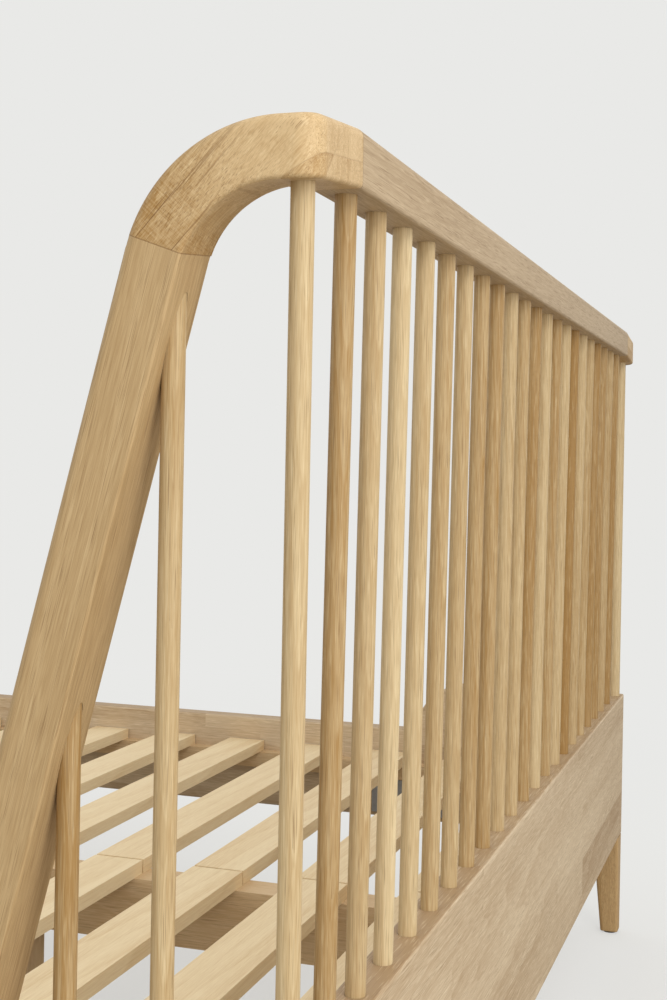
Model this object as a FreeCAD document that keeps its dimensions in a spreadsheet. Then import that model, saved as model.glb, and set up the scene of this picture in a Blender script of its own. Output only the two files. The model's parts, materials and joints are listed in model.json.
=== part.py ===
import FreeCAD, Part
import os
import Sketcher

# Spindle bed in solid oak: winged headboard, rails, legs, centre beam and slats.
# Millimetres, +Z up, origin on the floor under the middle of the bed.
# The headboard stands at +Y, the foot end at -Y, and X runs across the bed.

Vector = FreeCAD.Vector

# Sizes that can each be set by themselves.
DRIVING = {
    "zero": 0,
    "overall_length": 2086,
    "headboard_width": 1710,
    "headboard_height": 1044,
    "leg_height": 170,
    # headboard frame
    "top_rail_height": 42,
    "top_rail_depth": 38,
    "corner_length": 93,
    "corner_slope": 0.108,
    "corner_round": 17,
    "wing_thickness": 50,
    "arm_width": 42,
    "arm_lean": 14.6,
    "arch_radius": 110,
    "arch_setback": 9.6,
    "arch_joint_angle": 19.5,
    "soft_edge": 8,
    "fine_edge": 3,
    "small_edge": 2,
    # integral tenons of the headboard frame
    "tenon_thickness": 14,
    "tenon_height": 24,
    "tenon_length": 26,
    "tenon_play": 0.3,
    # spindles and their sockets
    "spindle_diameter": 16,
    "corner_spindle_gap": 90,
    "spindle_count": 21,
    "spindle_chamfer": 1,
    "wing_spindle_rear": 88.6,
    "wing_spindle_front": 160.5,
    "socket_depth": 15,
    "socket_play": 0.3,
    "end_play": 0.5,
    "headboard_rake": 5,
    # rails of the base
    "bottom_rail_thickness": 35,
    "bottom_rail_height": 244,
    "cheek_length": 350,
    "tongue_length": 12,
    "tongue_shoulder": 40,
    "side_rail_height": 160,
    "side_rail_thickness": 35,
    "foot_rail_thickness": 35,
    # legs
    "leg_top_width": 44,
    "leg_foot_width": 30,
    "leg_edge": 5,
    "spigot_diameter": 20,
    "spigot_length": 30,
    "glide_thickness": 3,
    "glide_diameter": 22,
    # inside the base
    "slat_drop": 40,
    "slat_thickness": 18,
    "slat_width": 68,
    "slat_margin": 13.75,
    "slat_count": 14,
    "slat_end_gap": 2,
    "slat_edge": 2,
    "ledger_width": 25,
    "ledger_height": 28,
    "beam_width": 50,
    "beam_height": 80,
    "beam_rest_width": 120,
    "beam_rest_depth": 35,
    "post_width": 45,
    "post_drop": 10,
    "support_spacing": 680,
    "support_clear": 22,
    # levelling feet
    "disc_diameter": 42,
    "disc_thickness": 8,
    "disc_edge": 2,
    "stem_diameter": 10,
    "stem_length": 48,
    "stem_play": 0.3,
    "foot_travel": 12,
    # hardware
    "plate_thickness": 4,
    "plate_length": 160,
    "plate_height": 60,
    "plate_drop": 8,
    "screw_diameter": 5,
    "screw_length": 28,
    "screw_head_diameter": 10,
    "screw_head_height": 3,
    "screw_margin": 15,
    "bolt_diameter": 8,
    "bolt_length": 68,
    "bolt_head_diameter": 15,
    "bolt_head_height": 4.5,
    "bolt_margin": 28,
    "bolt_step": 20,
    "hole_play": 0.3,
}

# Sizes that follow from the ones above.
DERIVED = {
    "half_width": "headboard_width / 2",
    "back_y": "overall_length / 2",
    "row_y": "back_y - top_rail_depth / 2",
    "row_foot_y": "row_y - headboard_rake",
    "front_rail_y": "back_y - top_rail_depth",
    "rail_under": "headboard_height - top_rail_height",
    "rail_middle_z": "headboard_height - top_rail_height / 2",
    "base_top": "leg_height + bottom_rail_height",
    "side_top": "leg_height + side_rail_height",
    "rail_half": "half_width - corner_length",
    "rail_length": "2 * rail_half",
    "tenoned_length": "rail_length + 2 * tenon_length",
    "wing_inner": "half_width - wing_thickness",
    "wing_middle": "half_width - wing_thickness / 2",
    "return_length": "wing_inner - rail_half",
    "drop_inner": "corner_slope * return_length",
    "drop_middle": "corner_slope * (wing_middle - rail_half)",
    "slope_down": "0 - corner_slope",
    # arch and arm, seen from the side
    "bend_radius": "arch_radius - arm_width",
    "arch_y": "row_y - arch_setback",
    "arch_z": "headboard_height - arch_radius",
    "front_reach": "arch_y - front_rail_y",
    "return_top_z": "arch_z + sqrt(arch_radius ^ 2 - front_reach ^ 2)",
    "return_under_z": "arch_z + sqrt(bend_radius ^ 2 - front_reach ^ 2)",
    "joint_outer_y": "arch_y - arch_radius * cos(arch_joint_angle)",
    "joint_outer_z": "arch_z + arch_radius * sin(arch_joint_angle)",
    "joint_inner_y": "arch_y - bend_radius * cos(arch_joint_angle)",
    "joint_inner_z": "arch_z + bend_radius * sin(arch_joint_angle)",
    "bend_outer_y": "arch_y - arch_radius * cos(arm_lean)",
    "bend_outer_z": "arch_z + arch_radius * sin(arm_lean)",
    "bend_inner_y": "arch_y - bend_radius * cos(arm_lean)",
    "bend_inner_z": "arch_z + bend_radius * sin(arm_lean)",
    "arm_cut_z": "base_top - tenon_length",
    "arm_outer_y": "bend_outer_y - (bend_outer_z - arm_cut_z) * tan(arm_lean)",
    "arm_inner_y": "bend_inner_y - (bend_inner_z - arm_cut_z) * tan(arm_lean)",
    "arm_foot_y": "(arm_outer_y + arm_inner_y) / 2 + tenon_length * tan(arm_lean)",
    "joint_middle_y": "arch_y - (arch_radius - arm_width / 2) * cos(arch_joint_angle)",
    "joint_middle_z": "arch_z + (arch_radius - arm_width / 2) * sin(arch_joint_angle) - drop_middle",
    "joint_turn": "0 - arch_joint_angle",
    "tenon_root": "0 - tenon_length / 4",
    "mortise_length": "tenon_length + tenon_play",
    "mortise_thickness": "tenon_thickness + 2 * tenon_play",
    "mortise_height": "tenon_height + 2 * tenon_play",
    "tenon_foot_z": "base_top - tenon_length",
    "tenon_head_z": "base_top + tenon_length / 4",
    # spindles
    "socket_diameter": "spindle_diameter + 2 * socket_play",
    "row_reach": "2 * (wing_middle - corner_spindle_gap)",
    "first_spindle_x": "0 - row_reach / 2",
    "spindle_pitch": "row_reach / (spindle_count - 1)",
    "rake_ratio": "headboard_rake / (rail_under - base_top)",
    "rake_back": "0 - rake_ratio",
    "spindle_foot_z": "base_top - socket_depth",
    "socket_entry_y": "row_foot_y",
    "spindle_foot_y": "row_foot_y - rake_ratio * socket_depth",
    "socket_roof_z": "rail_under + socket_depth",
    "socket_roof_y": "row_y + rake_ratio * socket_depth",
    "socket_cut": "socket_depth + 2",
    "row_spindle_length": "socket_roof_z - spindle_foot_z - end_play",
    "corner_roof_z": "rail_under - drop_middle + socket_depth",
    "corner_spindle_length": "corner_roof_z - spindle_foot_z - end_play",
    "rear_spindle_y": "row_y - wing_spindle_rear",
    "front_spindle_y": "row_y - wing_spindle_front",
    "rear_entry_z": "bend_inner_z - (bend_inner_y - rear_spindle_y - socket_diameter / 2) / tan(arm_lean) - drop_middle",
    "front_entry_z": "bend_inner_z - (bend_inner_y - front_spindle_y - socket_diameter / 2) / tan(arm_lean) - drop_middle",
    "rear_roof_z": "rear_entry_z + socket_depth",
    "front_roof_z": "front_entry_z + socket_depth",
    "scribe_cut": "socket_depth + socket_diameter / tan(arm_lean) + 4",
    "rear_spindle_length": "rear_roof_z - spindle_foot_z - end_play",
    "front_spindle_length": "front_roof_z - spindle_foot_z - end_play",
    # base
    "bottom_back_y": "row_foot_y + bottom_rail_thickness / 2",
    "bottom_front_y": "row_foot_y - bottom_rail_thickness / 2",
    "cheek_front_y": "row_y - cheek_length",
    "sweep_radius": "bottom_rail_height - side_rail_height",
    "sweep_y": "cheek_front_y + sweep_radius",
    "foot_outer_y": "0 - overall_length / 2",
    "foot_inner_y": "foot_outer_y + foot_rail_thickness",
    "base_half": "wing_inner + side_rail_thickness",
    "foot_rail_length": "2 * base_half",
    "inner_length": "bottom_front_y - foot_inner_y",
    "side_rail_length": "cheek_front_y - foot_inner_y",
    # legs
    "leg_under_z": "glide_thickness",
    "head_leg_top_x": "half_width - leg_top_width",
    "head_leg_foot_x": "half_width - leg_foot_width",
    "head_leg_top_y": "bottom_back_y - leg_top_width",
    "head_leg_foot_y": "bottom_back_y - leg_foot_width",
    "head_spigot_x": "half_width - leg_top_width / 2",
    "foot_leg_top_x": "base_half - leg_top_width",
    "foot_leg_foot_x": "base_half - leg_foot_width",
    "foot_leg_top_y": "foot_outer_y + leg_top_width",
    "foot_leg_foot_y": "foot_outer_y + leg_foot_width",
    "head_leg_middle_y": "bottom_back_y - leg_top_width / 2",
    "foot_leg_middle_y": "foot_outer_y + leg_top_width / 2",
    "foot_spigot_x": "base_half - leg_top_width / 2",
    "foot_spigot_y": "foot_outer_y + foot_rail_thickness / 2",
    "spigot_hole": "spigot_diameter + 2 * hole_play",
    "spigot_roof_z": "leg_height + spigot_length + end_play",
    "spigot_cut": "spigot_length + end_play",
    "head_glide_x": "half_width - leg_foot_width / 2",
    "head_glide_y": "bottom_back_y - leg_foot_width / 2",
    "foot_glide_x": "base_half - leg_foot_width / 2",
    "foot_glide_y": "foot_outer_y + leg_foot_width / 2",
    # inside
    "slat_level": "side_top - slat_drop",
    "ledger_top": "slat_level - slat_thickness",
    "ledger_low": "ledger_top - ledger_height",
    "ledger_x": "wing_inner - ledger_width",
    "beam_low": "ledger_top - beam_height",
    "beam_rest_height": "beam_low - leg_height",
    "head_rest_y": "bottom_front_y - beam_rest_depth",
    "post_x": "wing_inner - post_width",
    "post_low": "leg_height + post_drop",
    "head_post_y": "bottom_front_y - post_width",
    "foot_post_y": "foot_inner_y + post_width",
    "post_height": "ledger_top - post_drop - post_low",
    "ledger_length": "head_post_y - foot_post_y",
    "slat_length": "wing_inner - 2 * slat_end_gap",
    "slat_run": "ledger_length - 2 * slat_margin - slat_width",
    "slat_first_y": "foot_post_y + slat_margin",
    "support_height": "beam_low - support_clear",
    "support_y": "support_spacing / 2",
    "support_low_y": "0 - beam_width / 2",
    "stem_hole": "stem_diameter + 2 * stem_play",
    "stem_top": "disc_thickness + stem_length",
    "stem_roof_z": "stem_top + foot_travel + end_play",
    "stem_cut": "stem_roof_z - support_clear",
    "disc_radius": "disc_diameter / 2",
    "disc_rim_z": "disc_thickness - disc_edge",
    "disc_top_radius": "disc_radius - disc_edge",
    "stem_radius": "stem_diameter / 2",
    # hardware
    "plate_low": "leg_height + plate_drop",
    "plate_top": "plate_low + plate_height",
    "plate_start_y": "cheek_front_y - plate_length / 2",
    "screw_hole": "screw_diameter + 2 * hole_play",
    "screw_reach": "screw_length - plate_thickness",
    "screw_low_z": "plate_low + screw_margin",
    "screw_high_z": "plate_top - screw_margin",
    "screw_cheek_y": "cheek_front_y + plate_length / 2 - screw_margin",
    "screw_rail_y": "cheek_front_y - plate_length / 2 + screw_margin",
    "plate_face_x": "wing_inner - plate_thickness",
    "bolt_hole": "bolt_diameter + 2 * hole_play",
    "bolt_cut": "bolt_length + end_play",
    "bolt_reach": "bolt_cut - post_width",
    "bolt_x": "wing_inner - post_width / 2",
    "head_bolt_y": "bottom_front_y - post_width / 2",
    "foot_bolt_y": "foot_inner_y + post_width / 2",
    "arm_run": "tan(arm_lean)",
    "plate_far": "plate_length - screw_margin",
    "plate_upper": "plate_height - screw_margin",
    "screw_spot_y": "screw_rail_y - foot_inner_y",
    "screw_low_up": "screw_low_z - leg_height",
    "screw_high_up": "screw_high_z - leg_height",
    "bolt_1_z": "post_low + bolt_margin - bolt_step / 2",
    "bolt_2_z": "bolt_1_z + bolt_step",
    "tongue_low": "leg_height + tongue_shoulder",
    "tongue_high": "base_top - tongue_shoulder",
    "tongue_end_y": "bottom_front_y + tongue_length",
    "groove_low": "tongue_low - tenon_play",
    "groove_high": "tongue_high + tenon_play",
    "groove_end_y": "tongue_end_y + tenon_play",
    "tongue_root_y": "bottom_front_y - tongue_length",
    "bolt_2_up": "bolt_2_z - leg_height",
}

doc = FreeCAD.newDocument("spindle_bed")
sheet = doc.addObject("Spreadsheet::Sheet", "sizes")
nodes = []


def fill_sheet():
    """Write each size in a cell of its own, under its name."""
    row = 0
    for alias, value in DRIVING.items():
        row += 1
        sheet.set("A%d" % row, alias)
        sheet.set("B%d" % row, str(value))
        sheet.setAlias("B%d" % row, alias)
    for alias, formula in DERIVED.items():
        row += 1
        sheet.set("A%d" % row, alias)
        sheet.set("B%d" % row, "=" + formula)
        sheet.setAlias("B%d" % row, alias)
    doc.recompute()


def number(term):
    """Value of a size name, which may be negated or halved."""
    name = term.lstrip("-")
    half = name.endswith("/2")
    value = float(getattr(sheet, name[:-2] if half else name))
    value = value / 2 if half else value
    return -value if term.startswith("-") else value


def cell(term):
    """The same term as an expression on the sheet."""
    if term.startswith("-"):
        return "0 - sizes." + term[1:]
    return "sizes." + term


def bind(item, prop, term):
    """Tie one property to the sheet."""
    item.setExpression(prop, cell(term))


def keep(item, name):
    """Name a finished piece, which gives its own file."""
    item.Label = name
    nodes.append(item)
    return item


def new_body(name):
    body = doc.addObject("PartDesign::Body", "body_" + name)
    body.Label = name
    return body


def place(item, x="zero", y="zero", z="zero"):
    """Stand a piece at its own spot in the bed."""
    item.Placement = FreeCAD.Placement(Vector(number(x), number(y), number(z)), FreeCAD.Rotation())
    bind(item, "Placement.Base.x", x)
    bind(item, "Placement.Base.y", y)
    bind(item, "Placement.Base.z", z)


def flat_sketch(body, name, role, across="zero", up="zero", away="zero", turn=None):
    """A sketch on one of the body's planes, moved in it and away from it."""
    sketch = body.newObject("Sketcher::SketchObject", body.Label + "_" + name)
    side = [item for item in body.Origin.OriginFeatures if item.Role == role][0]
    sketch.AttachmentSupport = [(side, "")]
    sketch.MapMode = "FlatFace"
    angle = number(turn) if turn else 0
    shift = Vector(number(across), number(up), number(away))
    sketch.AttachmentOffset = FreeCAD.Placement(shift, FreeCAD.Rotation(Vector(0, 0, 1), angle))
    bind(sketch, "AttachmentOffset.Base.x", across)
    bind(sketch, "AttachmentOffset.Base.y", up)
    bind(sketch, "AttachmentOffset.Base.z", away)
    if turn:
        sketch.setExpression("AttachmentOffset.Rotation.Angle", cell(turn) + " * 1 deg")
    return sketch


def tie(sketch, rules):
    """Add constraints in one go, then tie the ones that carry a size."""
    first = sketch.ConstraintCount
    sketch.addConstraint([rule for rule, term in rules])
    for step, (rule, term) in enumerate(rules):
        if term:
            sketch.setExpression("Constraints[%d]" % (first + step), cell(term))


def at_point(geometry, end, across, up):
    """Rules that hold one point of a sketch at two named distances."""
    return [
        (Sketcher.Constraint("DistanceX", -1, 1, geometry, end, number(across)), across),
        (Sketcher.Constraint("DistanceY", -1, 1, geometry, end, number(up)), up),
    ]


def which_end(geometry, point):
    """1 where the geometry starts at the point, 2 where it ends there."""
    return 1 if geometry.StartPoint.distanceToPoint(point) < 1e-4 else 2


def outline(sketch, corners, bends=None):
    """A closed outline through named corners; bends gives a radius for some sides."""
    bends = bends or {}
    points = [Vector(number(across), number(up), 0) for across, up in corners]
    count = len(points)
    for index in range(count):
        start = points[index]
        end = points[(index + 1) % count]
        if index in bends:
            term, side = bends[index]
            radius = number(term)
            chord = end - start
            normal = Vector(-chord.y, chord.x, 0).normalize()
            rise = (radius ** 2 - (chord.Length / 2) ** 2) ** 0.5
            centre = (start + end) * 0.5 - normal * rise * side
            crown = centre + normal * radius * side
            turns_left = (crown - start).cross(end - crown).z > 0
            ends = (start, end) if turns_left else (end, start)
            sketch.addGeometry(Part.Arc(ends[0], crown, ends[1]))
        else:
            sketch.addGeometry(Part.LineSegment(start, end))
    shapes = list(sketch.Geometry)
    rules = []
    for index in range(count):
        after = (index + 1) % count
        mine = which_end(shapes[index], points[after])
        theirs = which_end(shapes[after], points[after])
        rules.append((Sketcher.Constraint("Coincident", index, mine, after, theirs), None))
        rules += at_point(after, theirs, *corners[after])
    for index, (term, side) in bends.items():
        rules.append((Sketcher.Constraint("Radius", index, number(term)), term))
    tie(sketch, rules)


def box_outline(sketch, left, right, low, high):
    outline(sketch, [(left, low), (right, low), (right, high), (left, high)])


def circle(sketch, diameter, across="zero", up="zero"):
    radius = number(diameter) / 2
    centre = Vector(number(across), number(up), 0)
    index = sketch.addGeometry(Part.Circle(centre, Vector(0, 0, 1), radius))
    limit = (Sketcher.Constraint("Diameter", index, radius * 2), diameter)
    tie(sketch, [limit] + at_point(index, 3, across, up))


def direct(feature, direction, terms):
    """Send a pad or pocket along a direction that isn't square to its sketch."""
    feature.UseCustomVector = True
    feature.AlongSketchNormal = True
    feature.Direction = direction
    for axis, term in terms.items():
        feature.setExpression("Direction." + axis, cell(term))


def pad(body, sketch, length, both_ways=False, reverse=False):
    feature = body.newObject("PartDesign::Pad", sketch.Label + "_pad")
    feature.Profile = sketch
    feature.Length = number(length)
    bind(feature, "Length", length)
    feature.Midplane = both_ways
    feature.Reversed = reverse
    sketch.Visibility = False
    return feature


def pocket(body, sketch, length, both_ways=False, reverse=False):
    feature = body.newObject("PartDesign::Pocket", sketch.Label + "_pocket")
    feature.Profile = sketch
    feature.Length = number(length)
    bind(feature, "Length", length)
    feature.Midplane = both_ways
    feature.Reversed = reverse
    sketch.Visibility = False
    return feature


def row_along(body, feature, axis_role, length, count):
    """Repeat a feature along one axis of the body."""
    doc.recompute()
    axis = [item for item in body.Origin.OriginFeatures if item.Role == axis_role][0]
    pattern = body.newObject("PartDesign::LinearPattern", feature.Label + "_row")
    pattern.Originals = [feature]
    pattern.Direction = (axis, [""])
    pattern.Length = number(length)
    pattern.Occurrences = int(number(count))
    bind(pattern, "Length", length)
    bind(pattern, "Occurrences", count)
    body.Tip = pattern
    return pattern


def soften(body, radius, wanted):
    """Round the edges that the test picks out."""
    doc.recompute()
    base = body.Tip
    picked = []
    for index, edge in enumerate(base.Shape.Edges):
        if wanted(edge):
            picked.append("Edge%d" % (index + 1))
    feature = body.newObject("PartDesign::Fillet", body.Label + "_soft_" + str(len(body.Group)))
    feature.Base = (base, picked)
    feature.Radius = number(radius)
    bind(feature, "Radius", radius)
    doc.recompute()
    return feature


def runs_along(edge, axis):
    """True for a straight edge along one axis."""
    if edge.Curve.TypeId != "Part::GeomLine":
        return False
    return abs(abs(edge.tangentAt(edge.FirstParameter).dot(axis)) - 1) < 1e-6


def box_edge(edge, box, axis):
    """True for an edge along the axis that lies on two outer faces of the box."""
    if not runs_along(edge, axis):
        return False
    middle = edge.CenterOfMass
    faces = 0
    for low, high, value in (
        (box.XMin, box.XMax, middle.x),
        (box.YMin, box.YMax, middle.y),
        (box.ZMin, box.ZMax, middle.z),
    ):
        if min(abs(value - low), abs(value - high)) < 1e-6:
            faces += 1
    return faces == 2


ALONG_X = Vector(1, 0, 0)
ALONG_Y = Vector(0, 1, 0)
ALONG_Z = Vector(0, 0, 1)


def block(name, x, y, z, width, depth, height):
    """A squared timber: corner spot, then its three sizes."""
    body = new_body(name)
    place(body, x, y, z)
    sketch = flat_sketch(body, "plan", "XY_Plane")
    box_outline(sketch, "zero", width, "zero", depth)
    pad(body, sketch, height)
    return body


def mirrored(item, name):
    """The opposite hand of a piece, on the other side of the bed."""
    doc.recompute()
    twin = doc.addObject("Part::Mirroring", "twin_" + name)
    twin.Source = item
    twin.Normal = ALONG_X
    return keep(twin, name)


def pair(item, stem):
    """Keep a piece as the right hand one and make the left hand one."""
    keep(item, stem + "_right")
    return mirrored(item, stem + "_left")


def make_top_rail():
    body = new_body("top_rail")
    section = flat_sketch(body, "section", "YZ_Plane")
    box_outline(section, "front_rail_y", "back_y", "rail_under", "headboard_height")
    pad(body, section, "rail_length", both_ways=True)
    doc.recompute()
    box = body.Shape.BoundBox
    soften(body, "soft_edge", lambda edge: box_edge(edge, box, ALONG_X)
           and edge.CenterOfMass.z > number("rail_middle_z") and edge.CenterOfMass.y > number("row_y"))
    soften(body, "fine_edge", lambda edge: box_edge(edge, box, ALONG_X))
    tenon = flat_sketch(body, "tenon", "YZ_Plane", "row_y", "rail_middle_z")
    box_outline(tenon, "-tenon_thickness/2", "tenon_thickness/2", "-tenon_height/2", "tenon_height/2")
    pad(body, tenon, "tenoned_length", both_ways=True)
    hole = flat_sketch(body, "socket", "XY_Plane", "first_spindle_x", "socket_roof_y", "socket_roof_z")
    circle(hole, "socket_diameter")
    first = pocket(body, hole, "socket_cut")
    direct(first, Vector(0, number("rake_back"), -1), {"y": "rake_back"})
    row_along(body, first, "X_Axis", "row_reach", "spindle_count")
    keep(body, "top_rail")


def make_corner_block():
    """The block that turns the top rail round into the arm of the wing."""
    body = new_body("corner_block")
    section = flat_sketch(body, "return", "YZ_Plane", away="rail_half")
    outline(section, [
        ("back_y", "rail_under"), ("arch_y", "rail_under"), ("front_rail_y", "return_under_z"),
        ("front_rail_y", "return_top_z"), ("arch_y", "headboard_height"), ("back_y", "headboard_height"),
    ], {1: ("bend_radius", -1), 3: ("arch_radius", 1)})
    first = pad(body, section, "return_length")
    direct(first, Vector(1, 0, number("slope_down")), {"z": "slope_down"})
    arch = flat_sketch(body, "arch", "YZ_Plane", up="-drop_inner", away="wing_inner")
    outline(arch, [
        ("back_y", "rail_under"), ("arch_y", "rail_under"), ("joint_inner_y", "joint_inner_z"),
        ("joint_outer_y", "joint_outer_z"), ("arch_y", "headboard_height"), ("back_y", "headboard_height"),
    ], {1: ("bend_radius", -1), 3: ("arch_radius", 1)})
    second = pad(body, arch, "wing_thickness")
    direct(second, Vector(1, 0, number("slope_down")), {"z": "slope_down"})
    doc.recompute()
    return body


def on_plane(edge, axis, value):
    """True where every point tried on the edge has the given coordinate."""
    span = edge.LastParameter - edge.FirstParameter
    for share in (0, 0.5, 1):
        point = edge.valueAt(edge.FirstParameter + span * share)
        if abs(point.dot(axis) - value) > 1e-3:
            return False
    return True


def outside_edge(edge):
    """True on the outer run of the corner: the back, the turn and the outer side."""
    half = number("half_width")
    back = number("back_y")
    turn = number("corner_round")
    if on_plane(edge, ALONG_X, half) or on_plane(edge, ALONG_Y, back):
        return not runs_along(edge, ALONG_Z)
    middle = edge.valueAt((edge.FirstParameter + edge.LastParameter) / 2)
    if edge.Curve.TypeId != "Part::GeomEllipse":
        return False
    return middle.x > half - turn and middle.y > back - turn


def shape_corner_block(body):
    """Round the corner in plan, soften the edges, then cut mortises and socket."""
    half = number("half_width")
    back = number("back_y")
    rail_end = number("rail_half")
    soften(body, "corner_round", lambda edge: runs_along(edge, ALONG_Z)
           and abs(edge.CenterOfMass.x - half) < 1e-4 and abs(edge.CenterOfMass.y - back) < 1e-4)
    middle_z = number("rail_middle_z")
    radius = (number("arch_radius") + number("bend_radius")) / 2
    arch_y = number("arch_y")
    arch_z = number("arch_z")

    def upper(edge):
        point = edge.valueAt((edge.FirstParameter + edge.LastParameter) / 2)
        drop = (point.x - rail_end) * number("corner_slope")
        if point.y > arch_y:
            return point.z + drop > middle_z
        reach = ((point.y - arch_y) ** 2 + (point.z + drop - arch_z) ** 2) ** 0.5
        return reach > radius

    rise = number("joint_outer_z") - number("joint_inner_z")
    run = number("joint_inner_y") - number("joint_outer_y")

    def meets_arm(edge):
        for end in (edge.FirstParameter, edge.LastParameter):
            point = edge.valueAt(end)
            level = point.z + (point.x - rail_end) * number("corner_slope") - arch_z
            if abs(level - (arch_y - point.y) * rise / run) > 1e-3:
                return False
        return True

    soften(body, "soft_edge", lambda edge: outside_edge(edge) and upper(edge))
    soften(body, "fine_edge", lambda edge: outside_edge(edge) and not upper(edge)
           and not on_plane(edge, ALONG_X, rail_end) and not meets_arm(edge))
    mortise = flat_sketch(body, "rail_mortise", "YZ_Plane", "row_y", "rail_middle_z", "rail_half")
    box_outline(mortise, "-mortise_thickness/2", "mortise_thickness/2", "-mortise_height/2", "mortise_height/2")
    pocket(body, mortise, "mortise_length", reverse=True)
    mortise = flat_sketch(body, "arm_mortise", "YZ_Plane", "joint_middle_y", "joint_middle_z",
                          "wing_middle", "joint_turn")
    box_outline(mortise, "-mortise_height/2", "mortise_height/2", "tenon_root", "mortise_length")
    pocket(body, mortise, "mortise_thickness", both_ways=True)
    hole = flat_sketch(body, "socket", "XY_Plane", "wing_middle", "row_y", "corner_roof_z")
    circle(hole, "socket_diameter")
    pocket(body, hole, "socket_cut")
    doc.recompute()
    pair(body, "corner_block")


def make_arm():
    """The raking arm of the wing, tenoned at both ends and bored for two spindles."""
    body = new_body("arm")
    side = flat_sketch(body, "side", "YZ_Plane", up="-drop_inner", away="wing_inner")
    outline(side, [
        ("arm_inner_y", "arm_cut_z"), ("bend_inner_y", "bend_inner_z"), ("joint_inner_y", "joint_inner_z"),
        ("joint_outer_y", "joint_outer_z"), ("bend_outer_y", "bend_outer_z"), ("arm_outer_y", "arm_cut_z"),
    ], {1: ("bend_radius", 1), 3: ("arch_radius", 1)})
    blank = pad(body, side, "wing_thickness")
    direct(blank, Vector(1, 0, number("slope_down")), {"z": "slope_down"})
    foot = flat_sketch(body, "foot_cut", "YZ_Plane", away="wing_middle")
    box_outline(foot, "zero", "back_y", "zero", "base_top")
    pocket(body, foot, "headboard_width", both_ways=True)
    doc.recompute()
    outer = number("bend_outer_y")

    def long_edge(edge, radius_name):
        if on_plane(edge, ALONG_Z, number("base_top")):
            return False
        for x in (number("half_width"), number("wing_inner")):
            if not on_plane(edge, ALONG_X, x):
                continue
            lean = edge.tangentAt(edge.FirstParameter)
            if abs(lean.z) < 0.9:
                return False
            point = edge.valueAt((edge.FirstParameter + edge.LastParameter) / 2)
            top = number("arch_z")
            reach = abs(point.y - number("arch_y"))
            line = reach - max(0, top - point.z) * number("arm_run")
            is_outer = line > (number("bend_radius") + number("arch_radius")) / 2
            soft = is_outer and x > number("wing_middle")
            return soft == (radius_name == "soft_edge")
        return False

    soften(body, "soft_edge", lambda edge: long_edge(edge, "soft_edge"))
    soften(body, "small_edge", lambda edge: long_edge(edge, "small_edge"))
    head = flat_sketch(body, "head_tenon", "YZ_Plane", "joint_middle_y", "joint_middle_z",
                       "wing_middle", "joint_turn")
    box_outline(head, "-tenon_height/2", "tenon_height/2", "tenon_root", "tenon_length")
    pad(body, head, "tenon_thickness", both_ways=True)
    tail = flat_sketch(body, "foot_tenon", "YZ_Plane", "arm_foot_y", "zero", "wing_middle")
    box_outline(tail, "-tenon_height/2", "tenon_height/2", "tenon_foot_z", "tenon_head_z")
    pad(body, tail, "tenon_thickness", both_ways=True)
    for spot in ("rear", "front"):
        hole = flat_sketch(body, spot + "_socket", "XY_Plane", "wing_middle",
                           spot + "_spindle_y", spot + "_roof_z")
        circle(hole, "socket_diameter")
        pocket(body, hole, "scribe_cut")
    doc.recompute()
    pair(body, "arm")


def spindle(name, length, x, y, raked=False):
    """A round rod that stands in the base and runs up into the frame."""
    body = new_body(name)
    place(body, x, y, "spindle_foot_z")
    round_end = flat_sketch(body, "end", "XY_Plane")
    circle(round_end, "spindle_diameter")
    rod = pad(body, round_end, length)
    if raked:
        direct(rod, Vector(0, number("rake_ratio"), 1), {"y": "rake_ratio"})
    doc.recompute()
    ends = [index for index, edge in enumerate(rod.Shape.Edges) if edge.isClosed()]
    rim = body.newObject("PartDesign::Chamfer", name + "_rim")
    rim.Base = (rod, ["Edge%d" % (index + 1) for index in ends])
    rim.Size = number("spindle_chamfer")
    bind(rim, "Size", "spindle_chamfer")
    return keep(body, name)


def make_spindles():
    for index in range(int(number("spindle_count"))):
        rod = spindle("spindle_%02d" % (index + 1), "row_spindle_length",
                      "first_spindle_x", "spindle_foot_y", raked=True)
        rod.setExpression("Placement.Base.x", "sizes.first_spindle_x + %d * sizes.spindle_pitch" % index)
    for hand, x in (("right", "wing_middle"), ("left", "-wing_middle")):
        spindle("spindle_corner_" + hand, "corner_spindle_length", x, "row_y")
        spindle("spindle_wing_rear_" + hand, "rear_spindle_length", x, "rear_spindle_y")
        spindle("spindle_wing_front_" + hand, "front_spindle_length", x, "front_spindle_y")


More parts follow.
